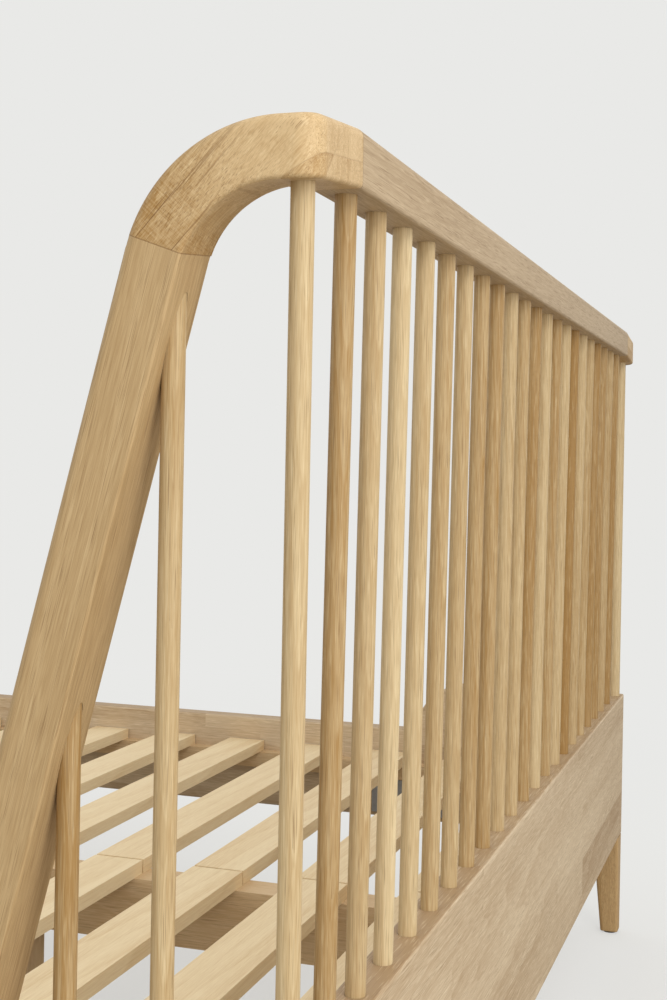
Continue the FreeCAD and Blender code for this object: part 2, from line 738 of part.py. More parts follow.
def make_bottom_rail():
    body = new_body("bottom_rail")
    section = flat_sketch(body, "section", "YZ_Plane")
    box_outline(section, "bottom_front_y", "bottom_back_y", "leg_height", "base_top")
    pad(body, section, "headboard_width", both_ways=True)
    doc.recompute()
    box = body.Shape.BoundBox
    soften(body, "fine_edge", lambda edge: box_edge(edge, box, ALONG_X)
           or (box_edge(edge, box, ALONG_Z) and edge.CenterOfMass.y > number("row_foot_y")))
    hole = flat_sketch(body, "socket", "XY_Plane", "first_spindle_x", "socket_entry_y", "base_top")
    circle(hole, "socket_diameter")
    first = pocket(body, hole, "socket_depth")
    direct(first, Vector(0, number("rake_back"), -1), {"y": "rake_back"})
    row_along(body, first, "X_Axis", "row_reach", "spindle_count")
    doc.recompute()
    for hand, x in (("right", "wing_middle"), ("left", "-wing_middle")):
        hole = flat_sketch(body, "corner_socket_" + hand, "XY_Plane", x, "row_y", "base_top")
        circle(hole, "socket_diameter")
        pocket(body, hole, "socket_depth")
    for hand, x in (("right", "head_spigot_x"), ("left", "-head_spigot_x")):
        hole = flat_sketch(body, "spigot_hole_" + hand, "XY_Plane", x, "row_foot_y", "spigot_roof_z")
        circle(hole, "spigot_hole")
        pocket(body, hole, "spigot_cut")
    for hand, x in (("right", "bolt_x"), ("left", "-bolt_x")):
        hole = flat_sketch(body, "bolt_" + hand, "XZ_Plane", x, "bolt_1_z", "-bottom_front_y")
        circle(hole, "bolt_hole")
        pocket(body, hole, "bolt_reach")
    for hand, x in (("right", "wing_middle"), ("left", "-wing_middle")):
        groove = flat_sketch(body, "groove_" + hand, "YZ_Plane", away=x)
        box_outline(groove, "tongue_root_y", "groove_end_y", "groove_low", "groove_high")
        pocket(body, groove, "mortise_thickness", both_ways=True)
    keep(body, "bottom_rail")


def make_cheek():
    """The board under each wing, rounded down at the front to the side rail."""
    body = new_body("side_cheek")
    side = flat_sketch(body, "side", "YZ_Plane", away="wing_middle")
    outline(side, [
        ("cheek_front_y", "leg_height"), ("bottom_front_y", "leg_height"), ("bottom_front_y", "base_top"),
        ("sweep_y", "base_top"), ("cheek_front_y", "side_top"),
    ], {3: ("sweep_radius", -1)})
    pad(body, side, "wing_thickness", both_ways=True)
    doc.recompute()
    soften(body, "fine_edge", lambda edge: (on_plane(edge, ALONG_X, number("half_width"))
           or on_plane(edge, ALONG_X, number("wing_inner"))) and not runs_along(edge, ALONG_Z)
           and edge.valueAt((edge.FirstParameter + edge.LastParameter) / 2).z > number("side_top"))
    for spot in ("rear", "front"):
        hole = flat_sketch(body, spot + "_socket", "XY_Plane", "wing_middle", spot + "_spindle_y", "base_top")
        circle(hole, "socket_diameter")
        pocket(body, hole, "socket_depth")
    mortise = flat_sketch(body, "mortise", "XY_Plane", "wing_middle", "arm_foot_y", "base_top")
    box_outline(mortise, "-mortise_thickness/2", "mortise_thickness/2", "-mortise_height/2", "mortise_height/2")
    pocket(body, mortise, "mortise_length")
    tongue = flat_sketch(body, "tongue", "YZ_Plane", away="wing_middle")
    box_outline(tongue, "tongue_root_y", "tongue_end_y", "tongue_low", "tongue_high")
    pad(body, tongue, "tenon_thickness", both_ways=True)
    hole = flat_sketch(body, "bolt", "YZ_Plane", "head_bolt_y", "bolt_2_z", "wing_inner")
    circle(hole, "bolt_hole")
    pocket(body, hole, "bolt_reach", reverse=True)
    for level in ("screw_low_z", "screw_high_z"):
        hole = flat_sketch(body, level, "YZ_Plane", "screw_cheek_y", level, "wing_inner")
        circle(hole, "screw_hole")
        pocket(body, hole, "screw_reach", reverse=True)
    pair(body, "side_cheek")


def make_side_rail():
    body = block("side_rail", "wing_inner", "foot_inner_y", "leg_height",
                 "side_rail_thickness", "side_rail_length", "side_rail_height")
    doc.recompute()
    box = body.Tip.Shape.BoundBox
    soften(body, "fine_edge", lambda edge: box_edge(edge, box, ALONG_Y))
    for level in ("screw_low_z", "screw_high_z"):
        across = "screw_spot_y"
        hole = flat_sketch(body, level, "YZ_Plane", across, level.replace("_z", "_up"))
        circle(hole, "screw_hole")
        pocket(body, hole, "screw_reach", reverse=True)
    hole = flat_sketch(body, "bolt", "YZ_Plane", "post_width/2", "bolt_2_up")
    circle(hole, "bolt_hole")
    pocket(body, hole, "bolt_reach", reverse=True)
    pair(body, "side_rail")


def make_foot_rail():
    body = new_body("foot_rail")
    section = flat_sketch(body, "section", "YZ_Plane")
    box_outline(section, "foot_outer_y", "foot_inner_y", "leg_height", "side_top")
    pad(body, section, "foot_rail_length", both_ways=True)
    doc.recompute()
    box = body.Shape.BoundBox
    soften(body, "fine_edge", lambda edge: box_edge(edge, box, ALONG_X)
           or (box_edge(edge, box, ALONG_Z) and edge.CenterOfMass.y < number("foot_spigot_y")))
    for hand, x in (("right", "foot_spigot_x"), ("left", "-foot_spigot_x")):
        hole = flat_sketch(body, "spigot_hole_" + hand, "XY_Plane", x, "foot_spigot_y", "spigot_roof_z")
        circle(hole, "spigot_hole")
        pocket(body, hole, "spigot_cut")
    for hand, x in (("right", "bolt_x"), ("left", "-bolt_x")):
        hole = flat_sketch(body, "bolt_" + hand, "XZ_Plane", x, "bolt_1_z", "-foot_inner_y")
        circle(hole, "bolt_hole")
        pocket(body, hole, "bolt_reach", reverse=True)
    keep(body, "foot_rail")


def make_leg(name, end):
    """A square leg, straight outside and tapered inside, with a spigot on top."""
    body = new_body(name)
    outer_x = "half_width" if end == "head" else "base_half"
    outer_y = "bottom_back_y" if end == "head" else "foot_outer_y"
    top_x = end + "_leg_top_x"
    foot_x = end + "_leg_foot_x"
    top_y = end + "_leg_top_y"
    foot_y = end + "_leg_foot_y"
    front = flat_sketch(body, "front", "XZ_Plane", away="-" + end + "_leg_middle_y")
    outline(front, [(foot_x, "leg_under_z"), (outer_x, "leg_under_z"),
                    (outer_x, "leg_height"), (top_x, "leg_height")])
    pad(body, front, "leg_top_width", both_ways=True)
    taper = flat_sketch(body, "taper", "YZ_Plane", away=outer_x)
    outline(taper, [(foot_y, "leg_under_z"), (top_y, "leg_height"), (top_y, "leg_under_z")])
    pocket(body, taper, "leg_top_width")
    doc.recompute()
    low = number("leg_under_z")
    high = number("leg_height")
    soften(body, "leg_edge", lambda edge: not on_plane(edge, ALONG_Z, low)
           and not on_plane(edge, ALONG_Z, high))
    soften(body, "small_edge", lambda edge: on_plane(edge, ALONG_Z, low))
    spigot = flat_sketch(body, "spigot", "XY_Plane", end + "_spigot_x",
                         "row_foot_y" if end == "head" else "foot_spigot_y", "leg_height")
    circle(spigot, "spigot_diameter")
    pad(body, spigot, "spigot_length")
    pair(body, name)


def make_posts():
    """Corner posts inside the base, bored for the bolts that draw the corner tight."""
    for end in ("head", "foot"):
        body = new_body(end + "_post")
        sketch = flat_sketch(body, "plan", "XY_Plane", away="post_low")
        if end == "head":
            box_outline(sketch, "post_x", "wing_inner", "head_post_y", "bottom_front_y")
        else:
            box_outline(sketch, "post_x", "wing_inner", "foot_inner_y", "foot_post_y")
        pad(body, sketch, "post_height")
        hole = flat_sketch(body, "long_bore", "XZ_Plane", "bolt_x", "bolt_1_z", "zero")
        circle(hole, "bolt_hole")
        pocket(body, hole, "overall_length", both_ways=True)
        hole = flat_sketch(body, "cross_bore", "YZ_Plane", end + "_bolt_y", "bolt_2_z", "wing_middle")
        circle(hole, "bolt_hole")
        pocket(body, hole, "wing_middle")
        pair(body, end + "_post")


def make_inside():
    """Ledgers, centre beam with its rests and supports, and the slats."""
    body = block("ledger", "ledger_x", "foot_post_y", "ledger_low",
                 "ledger_width", "ledger_length", "ledger_height")
    pair(body, "ledger")
    body = block("centre_beam", "-beam_width/2", "foot_inner_y", "beam_low",
                 "beam_width", "inner_length", "beam_height")
    keep(body, "centre_beam")
    rests = []
    for end, y in (("head", "head_rest_y"), ("foot", "foot_inner_y")):
        rests.append(block("beam_rest_" + end, "-beam_rest_width/2", y, "leg_height",
                           "beam_rest_width", "beam_rest_depth", "beam_rest_height"))
    group("beam_rests", rests)
    for end, y in (("head", "support_y"), ("foot", "-support_y")):
        body = new_body("centre_support_" + end)
        place(body, "zero", y)
        plan = flat_sketch(body, "plan", "XY_Plane", away="support_clear")
        box_outline(plan, "-beam_width/2", "beam_width/2", "-beam_width/2", "beam_width/2")
        pad(body, plan, "support_height")
        hole = flat_sketch(body, "stem_hole", "XY_Plane", away="stem_roof_z")
        circle(hole, "stem_hole")
        pocket(body, hole, "stem_cut")
        keep(body, "centre_support_" + end)
        foot = new_body("levelling_foot_" + end)
        place(foot, "zero", y)
        side = flat_sketch(foot, "side", "XZ_Plane")
        outline(side, [
            ("zero", "zero"), ("disc_radius", "zero"), ("disc_radius", "disc_rim_z"),
            ("disc_top_radius", "disc_thickness"), ("stem_radius", "disc_thickness"),
            ("stem_radius", "stem_top"), ("zero", "stem_top"),
        ])
        turned = foot.newObject("PartDesign::Revolution", side.Label + "_turned")
        turned.Profile = side
        turned.ReferenceAxis = (side, ["V_Axis"])
        turned.Angle = 360
        keep(foot, "levelling_foot_" + end)
    slats = new_body("slat_row")
    place(slats, "slat_end_gap", "slat_first_y", "ledger_top")
    plan = flat_sketch(slats, "plan", "XY_Plane")
    box_outline(plan, "zero", "slat_length", "zero", "slat_width")
    first = pad(slats, plan, "slat_thickness")
    row_along(slats, first, "Y_Axis", "slat_run", "slat_count")
    pair(slats, "slats")


def group(name, pieces):
    """Separate pieces of one kind that share a file."""
    doc.recompute()
    together = doc.addObject("Part::Compound", "group_" + name)
    together.Links = pieces
    return keep(together, name)


def rod(name, diameter, length):
    """A plain round bar from the Part tools, sized from the sheet."""
    bar = doc.addObject("Part::Cylinder", name)
    bar.Radius = number(diameter) / 2
    bar.setExpression("Radius", cell(diameter) + " / 2")
    bar.Height = number(length)
    bind(bar, "Height", length)
    return bar


def headed(name, kind, x, y, z, turn):
    """A bolt or screw: its head stands out of the face at the given spot."""
    shank = rod(name + "_shank", kind + "_diameter", kind + "_length")
    head = rod(name + "_head", kind + "_head_diameter", kind + "_head_height")
    head.Placement.Base = Vector(0, 0, -number(kind + "_head_height"))
    bind(head, "Placement.Base.z", "-" + kind + "_head_height")
    whole = doc.addObject("Part::Fuse", name)
    whole.Base = head
    whole.Tool = shank
    whole.Placement = FreeCAD.Placement(Vector(number(x), number(y), number(z)), turn)
    bind(whole, "Placement.Base.x", x)
    bind(whole, "Placement.Base.y", y)
    bind(whole, "Placement.Base.z", z)
    return whole


TO_HEAD = FreeCAD.Rotation(ALONG_X, -90)
TO_FOOT = FreeCAD.Rotation(ALONG_X, 90)
TO_RIGHT = FreeCAD.Rotation(ALONG_Y, 90)
TO_LEFT = FreeCAD.Rotation(ALONG_Y, -90)


def make_hardware():
    bolts = []
    for hand, x, inner, turn in (("right", "bolt_x", "post_x", TO_RIGHT),
                                 ("left", "-bolt_x", "-post_x", TO_LEFT)):
        bolts.append(headed("bolt_head_" + hand, "bolt", x, "head_post_y", "bolt_1_z", TO_HEAD))
        bolts.append(headed("bolt_cheek_" + hand, "bolt", inner, "head_bolt_y", "bolt_2_z", turn))
        bolts.append(headed("bolt_foot_" + hand, "bolt", x, "foot_post_y", "bolt_1_z", TO_FOOT))
        bolts.append(headed("bolt_rail_" + hand, "bolt", inner, "foot_bolt_y", "bolt_2_z", turn))
    group("post_bolts", bolts)
    plate = new_body("plate_side")
    place(plate, "plate_face_x", "plate_start_y", "plate_low")
    face = flat_sketch(plate, "face", "YZ_Plane")
    box_outline(face, "zero", "plate_length", "zero", "plate_height")
    pad(plate, face, "plate_thickness")
    for across in ("screw_margin", "plate_far"):
        for up in ("screw_margin", "plate_upper"):
            hole = flat_sketch(plate, across + up, "YZ_Plane", across, up)
            circle(hole, "screw_hole")
            pocket(plate, hole, "plate_thickness", reverse=True)
    doc.recompute()
    twin = doc.addObject("Part::Mirroring", "twin_plate")
    twin.Source = plate
    twin.Normal = ALONG_X
    group("joining_plates", [plate, twin])
    screws = []
    for hand, x, turn in (("right", "plate_face_x", TO_RIGHT), ("left", "-plate_face_x", TO_LEFT)):
        for y in ("screw_cheek_y", "screw_rail_y"):
            for level in ("screw_low_z", "screw_high_z"):
                screws.append(headed("screw_" + hand + y + level, "screw", x, y, level, turn))
    group("plate_screws", screws)
    glides = []
    for end in ("head", "foot"):
        for hand, sign in (("right", ""), ("left", "-")):
            glide = rod("glide_" + end + hand, "glide_diameter", "glide_thickness")
            place(glide, sign + end + "_glide_x", end + "_glide_y")
            glides.append(glide)
    group("floor_glides", glides)


def check_document():
    """Stop unless every object is sound and every kept shape is whole."""
    doc.recompute()
    for item in doc.Objects:
        if "Invalid" in item.State or "Error" in item.State:
            raise RuntimeError("%s is in state %s" % (item.Label, item.State))
    for item in nodes:
        shape = item.Shape
        if shape.isNull() or not shape.isValid() or not shape.Solids:
            raise RuntimeError("%s has no sound shape" % item.Label)


def write_parts():
    os.makedirs("parts", exist_ok=True)
    for item in nodes:
        item.Shape.exportStep(os.path.join("parts", item.Label + ".step"))


fill_sheet()
make_top_rail()
shape_corner_block(make_corner_block())
make_arm()
make_spindles()
make_bottom_rail()
make_cheek()
make_side_rail()
make_foot_rail()
make_leg("leg_head", "head")
make_leg("leg_foot", "foot")
make_posts()
make_inside()
make_hardware()
check_document()
write_parts()
print("%d pieces written" % len(nodes))
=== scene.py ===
"""Finish and studio for the oak spindle bed.

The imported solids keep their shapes. Each one gets its own cut of oak, with the grain along the piece, and
the joints, glue lines and end grain of the real bed. Lengths are in metres, in the frame of the solids:
the floor is z = 0, the headboard stands at +Y and X runs across the bed.
"""

import json
import logging
import math
from dataclasses import dataclass, field
from enum import Enum
from typing import Dict, List, Optional, Sequence, Tuple

import bpy
from mathutils import Matrix, Vector

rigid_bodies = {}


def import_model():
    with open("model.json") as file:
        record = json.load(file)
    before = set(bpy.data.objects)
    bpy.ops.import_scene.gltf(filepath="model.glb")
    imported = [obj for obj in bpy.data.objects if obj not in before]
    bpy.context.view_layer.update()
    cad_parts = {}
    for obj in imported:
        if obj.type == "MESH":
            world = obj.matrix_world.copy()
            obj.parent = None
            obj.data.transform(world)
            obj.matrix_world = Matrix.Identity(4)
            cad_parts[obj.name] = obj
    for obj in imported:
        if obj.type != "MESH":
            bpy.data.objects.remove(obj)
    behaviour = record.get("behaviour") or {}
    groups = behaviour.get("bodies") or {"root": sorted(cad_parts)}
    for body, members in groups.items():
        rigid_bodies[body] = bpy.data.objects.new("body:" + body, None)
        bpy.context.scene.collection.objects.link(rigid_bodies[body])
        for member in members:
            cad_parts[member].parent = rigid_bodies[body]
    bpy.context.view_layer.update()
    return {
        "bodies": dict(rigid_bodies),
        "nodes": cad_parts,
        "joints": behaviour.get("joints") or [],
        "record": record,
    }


Colour = Tuple[float, float, float]
Point = Tuple[float, float, float]
Band = Tuple[float, float]

HANDS = ((1.0, "right"), (-1.0, "left"))
ARM_LEAN = math.radians(14.6)

log = logging.getLogger("spindle_bed")


class Grain(Enum):
    """The way the fibres run in a piece, as a direction in the bed's frame."""

    ALONG_X = (1.0, 0.0, 0.0)
    ALONG_Y = (0.0, 1.0, 0.0)
    ALONG_Z = (0.0, 0.0, 1.0)
    ALONG_ARM = (0.0, math.sin(ARM_LEAN), math.cos(ARM_LEAN))
    CORNER_RIGHT = (-0.12, 0.66, 0.74)
    CORNER_LEFT = (0.12, 0.66, 0.74)

    def basis(self) -> Tuple[Vector, Vector, Vector]:
        """Work out the three directions that the figure is laid along.

        Returns:
            Along the fibres, across them, and across them again, the last as upright as it can be.
        """
        along = Vector(self.value).normalized()
        steep = abs(along.z) >= 0.9
        guide = Vector((1.0, 0.0, 0.0)) if steep else Vector((0.0, 0.0, 1.0))
        up = (guide - along * along.dot(guide)).normalized()
        return along, up.cross(along), up


def srgb(red: int, green: int, blue: int) -> Colour:
    """Turn a colour of 0 to 255 into the linear numbers that the shaders take.

    Args:
        red: red from 0 to 255.
        green: green from 0 to 255.
        blue: blue from 0 to 255.

    Returns:
        The linear colour.
    """
    def linear(value: int) -> float:
        """One channel, straightened."""
        share = value / 255.0
        return share / 12.92 if share <= 0.04045 else ((share + 0.055) / 1.055) ** 2.4

    return (linear(red), linear(green), linear(blue))


@dataclass(frozen=True)
class OakFinish:
    """One cut of oak: its colours and how strongly its figure shows.

    The first values of board_width and stave_length stand for wood that isn't glued up in boards.
    """

    pale: Colour
    dark: Colour
    pore: Colour
    ring_pitch: float = 0.0050
    wander: float = 0.5
    pore_amount: float = 0.5
    fleck_amount: float = 0.25
    contrast: float = 1.0
    board_width: float = 1.0
    stave_length: float = 100.0
    line_amount: float = 0.0
    check_amount: float = 0.0
    # How much darker the faces that look upwards are: painted shade on top faces.
    top_painted_shade: float = 0.0
    roughness: float = 0.52
    relief: float = 0.00012


@dataclass(frozen=True)
class MetalFinish:
    """A brushed or plated metal."""

    colour: Colour
    roughness: float = 0.38
    metallic: float = 1.0
    brush_grid: Point = (60.0, 60.0, 2600.0)
    brush_roughness: float = 0.25
    brush_level: float = 0.1
    scuff_scale: float = 140.0
    scuff_band: Band = (0.45, 0.75)
    scuff_shade: float = 0.62
    scuff_amount: float = 0.3
    relief: float = 0.00005
    bump_strength: float = 0.4


@dataclass(frozen=True)
class FeltFinish:
    """A dense felt."""

    dark: Colour
    pale: Colour
    fluff_scale: float = 1800.0
    roughness: float = 0.95
    sheen: float = 0.3
    relief: float = 0.0004
    bump_strength: float = 0.8


@dataclass(frozen=True)
class OakFigure:
    """How fine and how strong each part of the oak's figure is.

    A grid is in cycles a metre: along the fibres, and twice across them. A band is the pair of values
    between which a mark goes from none to full. A shift keeps one mark from following another.
    """

    sway_grid: Point = (2.2, 16.0, 16.0)
    sway_reach: Point = (0.0, 0.05, 0.05)
    ring_taper: Point = (0.045, 1.0, 1.0)
    early_curve: float = 1.7
    late_band: Band = (0.90, 1.0)
    year_spread: float = 0.6
    ring_weight: float = 0.40
    broad_grid: Point = (1.6, 26.0, 26.0)
    broad_band: Band = (0.30, 0.70)
    broad_weight: float = 0.30
    fibre_grid: Point = (44.0, 1700.0, 1700.0)
    fibre_weight: float = 1.2
    fibre_level: float = -0.60
    fibre_height: float = 0.35
    streak_grid: Point = (4.6, 460.0, 460.0)
    streak_weight: float = 0.8
    streak_level: float = -0.26
    pore_grid: Point = (30.0, 2300.0, 2300.0)
    pore_band: Band = (0.54, 0.70)
    pore_belt: Band = (0.15, 0.75)
    pore_least: float = 0.3
    fleck_grid: Point = (38.0, 620.0, 620.0)
    fleck_shift: Point = (1.0, 4.0, 9.0)
    fleck_band: Band = (0.58, 0.70)
    fleck_weight: float = 0.8
    check_grid: Point = (9.0, 24.0, 480.0)
    check_shift: Point = (5.0, 1.0, 2.0)
    check_band: Band = (0.63, 0.69)
    check_depth: float = 0.75
    weave_grid: Point = (1300.0, 60.0, 48.0)
    weave_shift: Point = (3.0, 7.0, 1.0)
    weave_weight: float = 0.9
    middle: float = 0.45
    darkest: float = 1.15
    # Over this band of upward facing, the painted shade of top faces comes in.
    top_shade_band: Band = (0.7, 0.95)
    line_darkness: float = 0.5
    line_height: float = -0.8
    pore_dulling: float = 0.22
    gloss: float = 0.24
    bump_strength: float = 0.7


@dataclass(frozen=True)
class Joint:
    """A plane on which two pieces meet, and the width of the line that shows there."""

    normal: Point
    level: float
    width: float


@dataclass(frozen=True)
class Lap:
    """A glued face inside the right corner block, and the change of tone in the board beyond it."""

    normal: Point
    level: float
    step: float

    def on(self, side: float) -> "Lap":
        """The same face in the block on one side of the bed: 1 for the right and -1 for the left."""
        across, along, up = self.normal
        return Lap((side * across, along, up), self.level, self.step)


@dataclass(frozen=True)
class GluedBlock:
    """How a corner block is glued up: end grain in front, and the faces of its boards at the crown.

    The y values are places along the bed. The glued faces show from crown_y on, and the end grain fades
    out over end_band.
    """

    laps: Tuple[Lap, ...]
    crown_y: float = 0.985
    crown_fade: float = 0.012
    end_band: Band = (0.925, 1.01)
    end_shade: float = 0.62
    check_least: float = 0.2
    line_width: float = 0.0006
    line_amount: float = 0.3
    board_shift: Point = (0.7, 0.013, 0.031)


RAIL_OAK = OakFinish(
    pale=srgb(184, 161, 129), dark=srgb(144, 117, 83), pore=srgb(108, 80, 50),
    ring_pitch=0.0052, wander=0.7, pore_amount=0.55,
)
CORNER_OAK = OakFinish(
    pale=srgb(207, 179, 136), dark=srgb(158, 121, 69), pore=srgb(108, 74, 38),
    ring_pitch=0.0100, wander=0.8, pore_amount=0.5, fleck_amount=0.3, check_amount=0.9,
)
ARM_OAK = OakFinish(
    pale=srgb(200, 172, 129), dark=srgb(158, 127, 84), pore=srgb(112, 80, 44),
    ring_pitch=0.0065, wander=0.5, pore_amount=0.55, fleck_amount=0.15, contrast=0.85,
)
SPINDLE_OAK = OakFinish(
    pale=srgb(218, 198, 158), dark=srgb(158, 123, 73), pore=srgb(108, 76, 42),
    ring_pitch=0.0034, wander=0.3, pore_amount=0.5, contrast=0.62, fleck_amount=0.2, relief=0.00010,
)
# These boards are darkened on their upward faces: painted shade.
BOARD_OAK = OakFinish(
    pale=srgb(208, 187, 156), dark=srgb(166, 138, 104), pore=srgb(122, 94, 62),
    ring_pitch=0.0085, wander=0.9, pore_amount=0.5, fleck_amount=0.35,
    board_width=0.061, stave_length=0.62, line_amount=0.3, top_painted_shade=0.55,
)
LEG_OAK = OakFinish(
    pale=srgb(196, 164, 118), dark=srgb(158, 124, 80), pore=srgb(104, 74, 42), ring_pitch=0.0048,
)
INNER_OAK = OakFinish(
    pale=srgb(214, 186, 146), dark=srgb(186, 152, 108), pore=srgb(136, 102, 64), ring_pitch=0.0060,
)
SLAT_WOOD = OakFinish(
    pale=srgb(232, 211, 172), dark=srgb(206, 174, 126), pore=srgb(176, 138, 90),
    ring_pitch=0.0110, wander=0.8, pore_amount=0.12, fleck_amount=0.05, roughness=0.6,
)
ZINC = MetalFinish(colour=srgb(176, 178, 180))
PLATED = MetalFinish(colour=srgb(196, 196, 194), roughness=0.3)
GLIDE_FELT = FeltFinish(dark=srgb(62, 56, 50), pale=srgb(104, 96, 88))


class NodePen:
    """Writes nodes and links into one node tree."""

    # The places of the colour sockets in a mix node, which also has sockets for numbers and vectors.
    MIX_SHARE = 0
    MIX_FIRST = 6
    MIX_SECOND = 7
    MIX_RESULT = 2

    def __init__(self, tree: bpy.types.NodeTree) -> None:
        """Start with an empty tree.

        Args:
            tree: the tree to write in.
        """
        self.tree = tree
        self.tree.nodes.clear()

    def put(self, kind: str, inputs: Optional[Dict[object, object]] = None,
            **settings: object) -> bpy.types.Node:
        """Add a node.

        Args:
            kind: the node's type name.
            inputs: for each input, by name or place, a value or the socket that feeds it.
            settings: attributes of the node itself.

        Returns:
            The new node.
        """
        node = self.tree.nodes.new(kind)
        for name, value in settings.items():
            setattr(node, name, value)
        for key, value in (inputs or {}).items():
            if isinstance(value, bpy.types.NodeSocket):
                self.tree.links.new(value, node.inputs[key])
            else:
                node.inputs[key].default_value = value
        return node

    def math(self, operation: str, first: object, second: object = 0.0,
             third: object = 0.0) -> bpy.types.NodeSocket:
        """Add one arithmetic step.

        Args:
            operation: the name of the operation.
            first: a number or a socket.
            second: a number or a socket.
            third: a number or a socket, for the operations that take three.

        Returns:
            The socket that carries the result.
        """
        terms = {0: first, 1: second, 2: third}
        return self.put("ShaderNodeMath", terms, operation=operation).outputs[0]

    def vector(self, operation: str, first: object, second: object = (0.0, 0.0, 0.0),
               third: object = (0.0, 0.0, 0.0)) -> bpy.types.NodeSocket:
        """Add one arithmetic step on vectors.

        Args:
            operation: the name of the operation.
            first: a vector or a socket.
            second: a vector or a socket.
            third: a vector or a socket, for the operations that take three.

        Returns:
            The socket that carries the result, a number for a length or a dot product.
        """
        terms = {0: first, 1: second, 2: third}
        node = self.put("ShaderNodeVectorMath", terms, operation=operation)
        return node.outputs["Value" if operation in ("DOT_PRODUCT", "LENGTH") else "Vector"]

    def scaled(self, vector: object, factor: object) -> bpy.types.NodeSocket:
        """Scale a vector by one number, either of which may be a socket."""
        return self.put("ShaderNodeVectorMath", {0: vector, 3: factor}, operation="SCALE").outputs[0]

    def blend(self, share: object, first: object, second: object,
              kind: str = "MIX") -> bpy.types.NodeSocket:
        """Blend two colours.

        Args:
            share: how much of the second colour.
            first: a colour or a socket.
            second: a colour or a socket.
            kind: how they blend.

        Returns:
            The socket that carries the blend.
        """
        terms = {self.MIX_SHARE: share}
        for place, colour in ((self.MIX_FIRST, first), (self.MIX_SECOND, second)):
            fed = isinstance(colour, bpy.types.NodeSocket)
            terms[place] = colour if fed else (*colour, 1.0)
        node = self.put("ShaderNodeMix", terms, data_type="RGBA", blend_type=kind)
        return node.outputs[self.MIX_RESULT]

    def ramp(self, value: object, low: float, high: float) -> bpy.types.NodeSocket:
        """Stretch a value so that low gives 0 and high gives 1, eased at both ends.

        Args:
            value: the socket to stretch.
            low: the value that becomes 0.
            high: the value that becomes 1.

        Returns:
            The socket that carries the result.
        """
        terms = {0: value, 1: low, 2: high, 3: 0.0, 4: 1.0}
        return self.put("ShaderNodeMapRange", terms, interpolation_type="SMOOTHSTEP").outputs[0]

    def noise(self, vector: bpy.types.NodeSocket, scale: float, detail: float) -> bpy.types.NodeSocket:
        """Add a noise texture that is as fine in every direction.

        Args:
            vector: where it is read.
            scale: how fine it is.
            detail: how many finer layers it has.

        Returns:
            The socket that carries its value.
        """
        terms = {"Vector": vector, "Scale": scale, "Detail": detail}
        return self.put("ShaderNodeTexNoise", terms).outputs["Fac"]

    def grained(self, vector: bpy.types.NodeSocket, grid: Point, detail: float,
                shift: Point = (0.0, 0.0, 0.0)) -> bpy.types.NodeSocket:
        """Add a noise texture drawn out along the grain.

        Args:
            vector: where it is read.
            grid: how fine it is along each axis.
            detail: how many finer layers it has.
            shift: how far its pattern is moved.

        Returns:
            The socket that carries its value.
        """
        return self.noise(self.vector("MULTIPLY_ADD", vector, grid, shift), 1.0, detail)

    def dice(self, value: bpy.types.NodeSocket) -> bpy.types.Node:
        """Add a node that draws a random number and colour for each whole value."""
        return self.put("ShaderNodeTexWhiteNoise", {"W": value}, noise_dimensions="1D")

    def feed(self, target: bpy.types.Node, **results: bpy.types.NodeSocket) -> None:
        """Link results to a group's output node.

        Args:
            target: the group's output node.
            results: for each output, its name with _ for a space, and the socket that feeds it.
        """
        for name, socket in results.items():
            self.tree.links.new(socket, target.inputs[name.replace("_", " ")])


def new_group(
        name: str, inputs: Sequence[Tuple[str, str, object]], outputs: Sequence[Tuple[str, str]],
) -> Tuple[bpy.types.NodeTree, NodePen, bpy.types.Node, bpy.types.Node]:
    """Make an empty shader group with named sockets.

    Args:
        name: the group's name.
        inputs: name, kind and first value of each input.
        outputs: name and kind of each output.

    Returns:
        The group, a pen for it, its input node and its output node.
    """
    tree = bpy.data.node_groups.new(name, "ShaderNodeTree")
    for label, kind, value in inputs:
        socket = tree.interface.new_socket(name=label, in_out="INPUT", socket_type="NodeSocket" + kind)
        if value is not None:
            socket.default_value = value
    for label, kind in outputs:
        tree.interface.new_socket(name=label, in_out="OUTPUT", socket_type="NodeSocket" + kind)
    pen = NodePen(tree)
    return tree, pen, pen.put("NodeGroupInput"), pen.put("NodeGroupOutput")


def new_material(name: str) -> Tuple[bpy.types.Material, NodePen, bpy.types.Node]:
    """Make an empty material.

    Args:
        name: the material's name.

    Returns:
        The material, a pen for it, and the node that gives the place on the piece.
    """
    material = bpy.data.materials.new(name)
    material.use_nodes = True
    pen = NodePen(material.node_tree)
    return material, pen, pen.put("ShaderNodeTexCoord")


def spot_in_log(seed: int) -> Point:
    """Pick the place in the log that a piece is cut from.

    Args:
        seed: the piece's own number.

    Returns:
        Along the log from its end, and twice across it from the heart.
    """
    return (0.37 * seed, 0.016 + 0.011 * (seed * 5 % 7), 0.021 + 0.009 * (seed * 3 % 5))


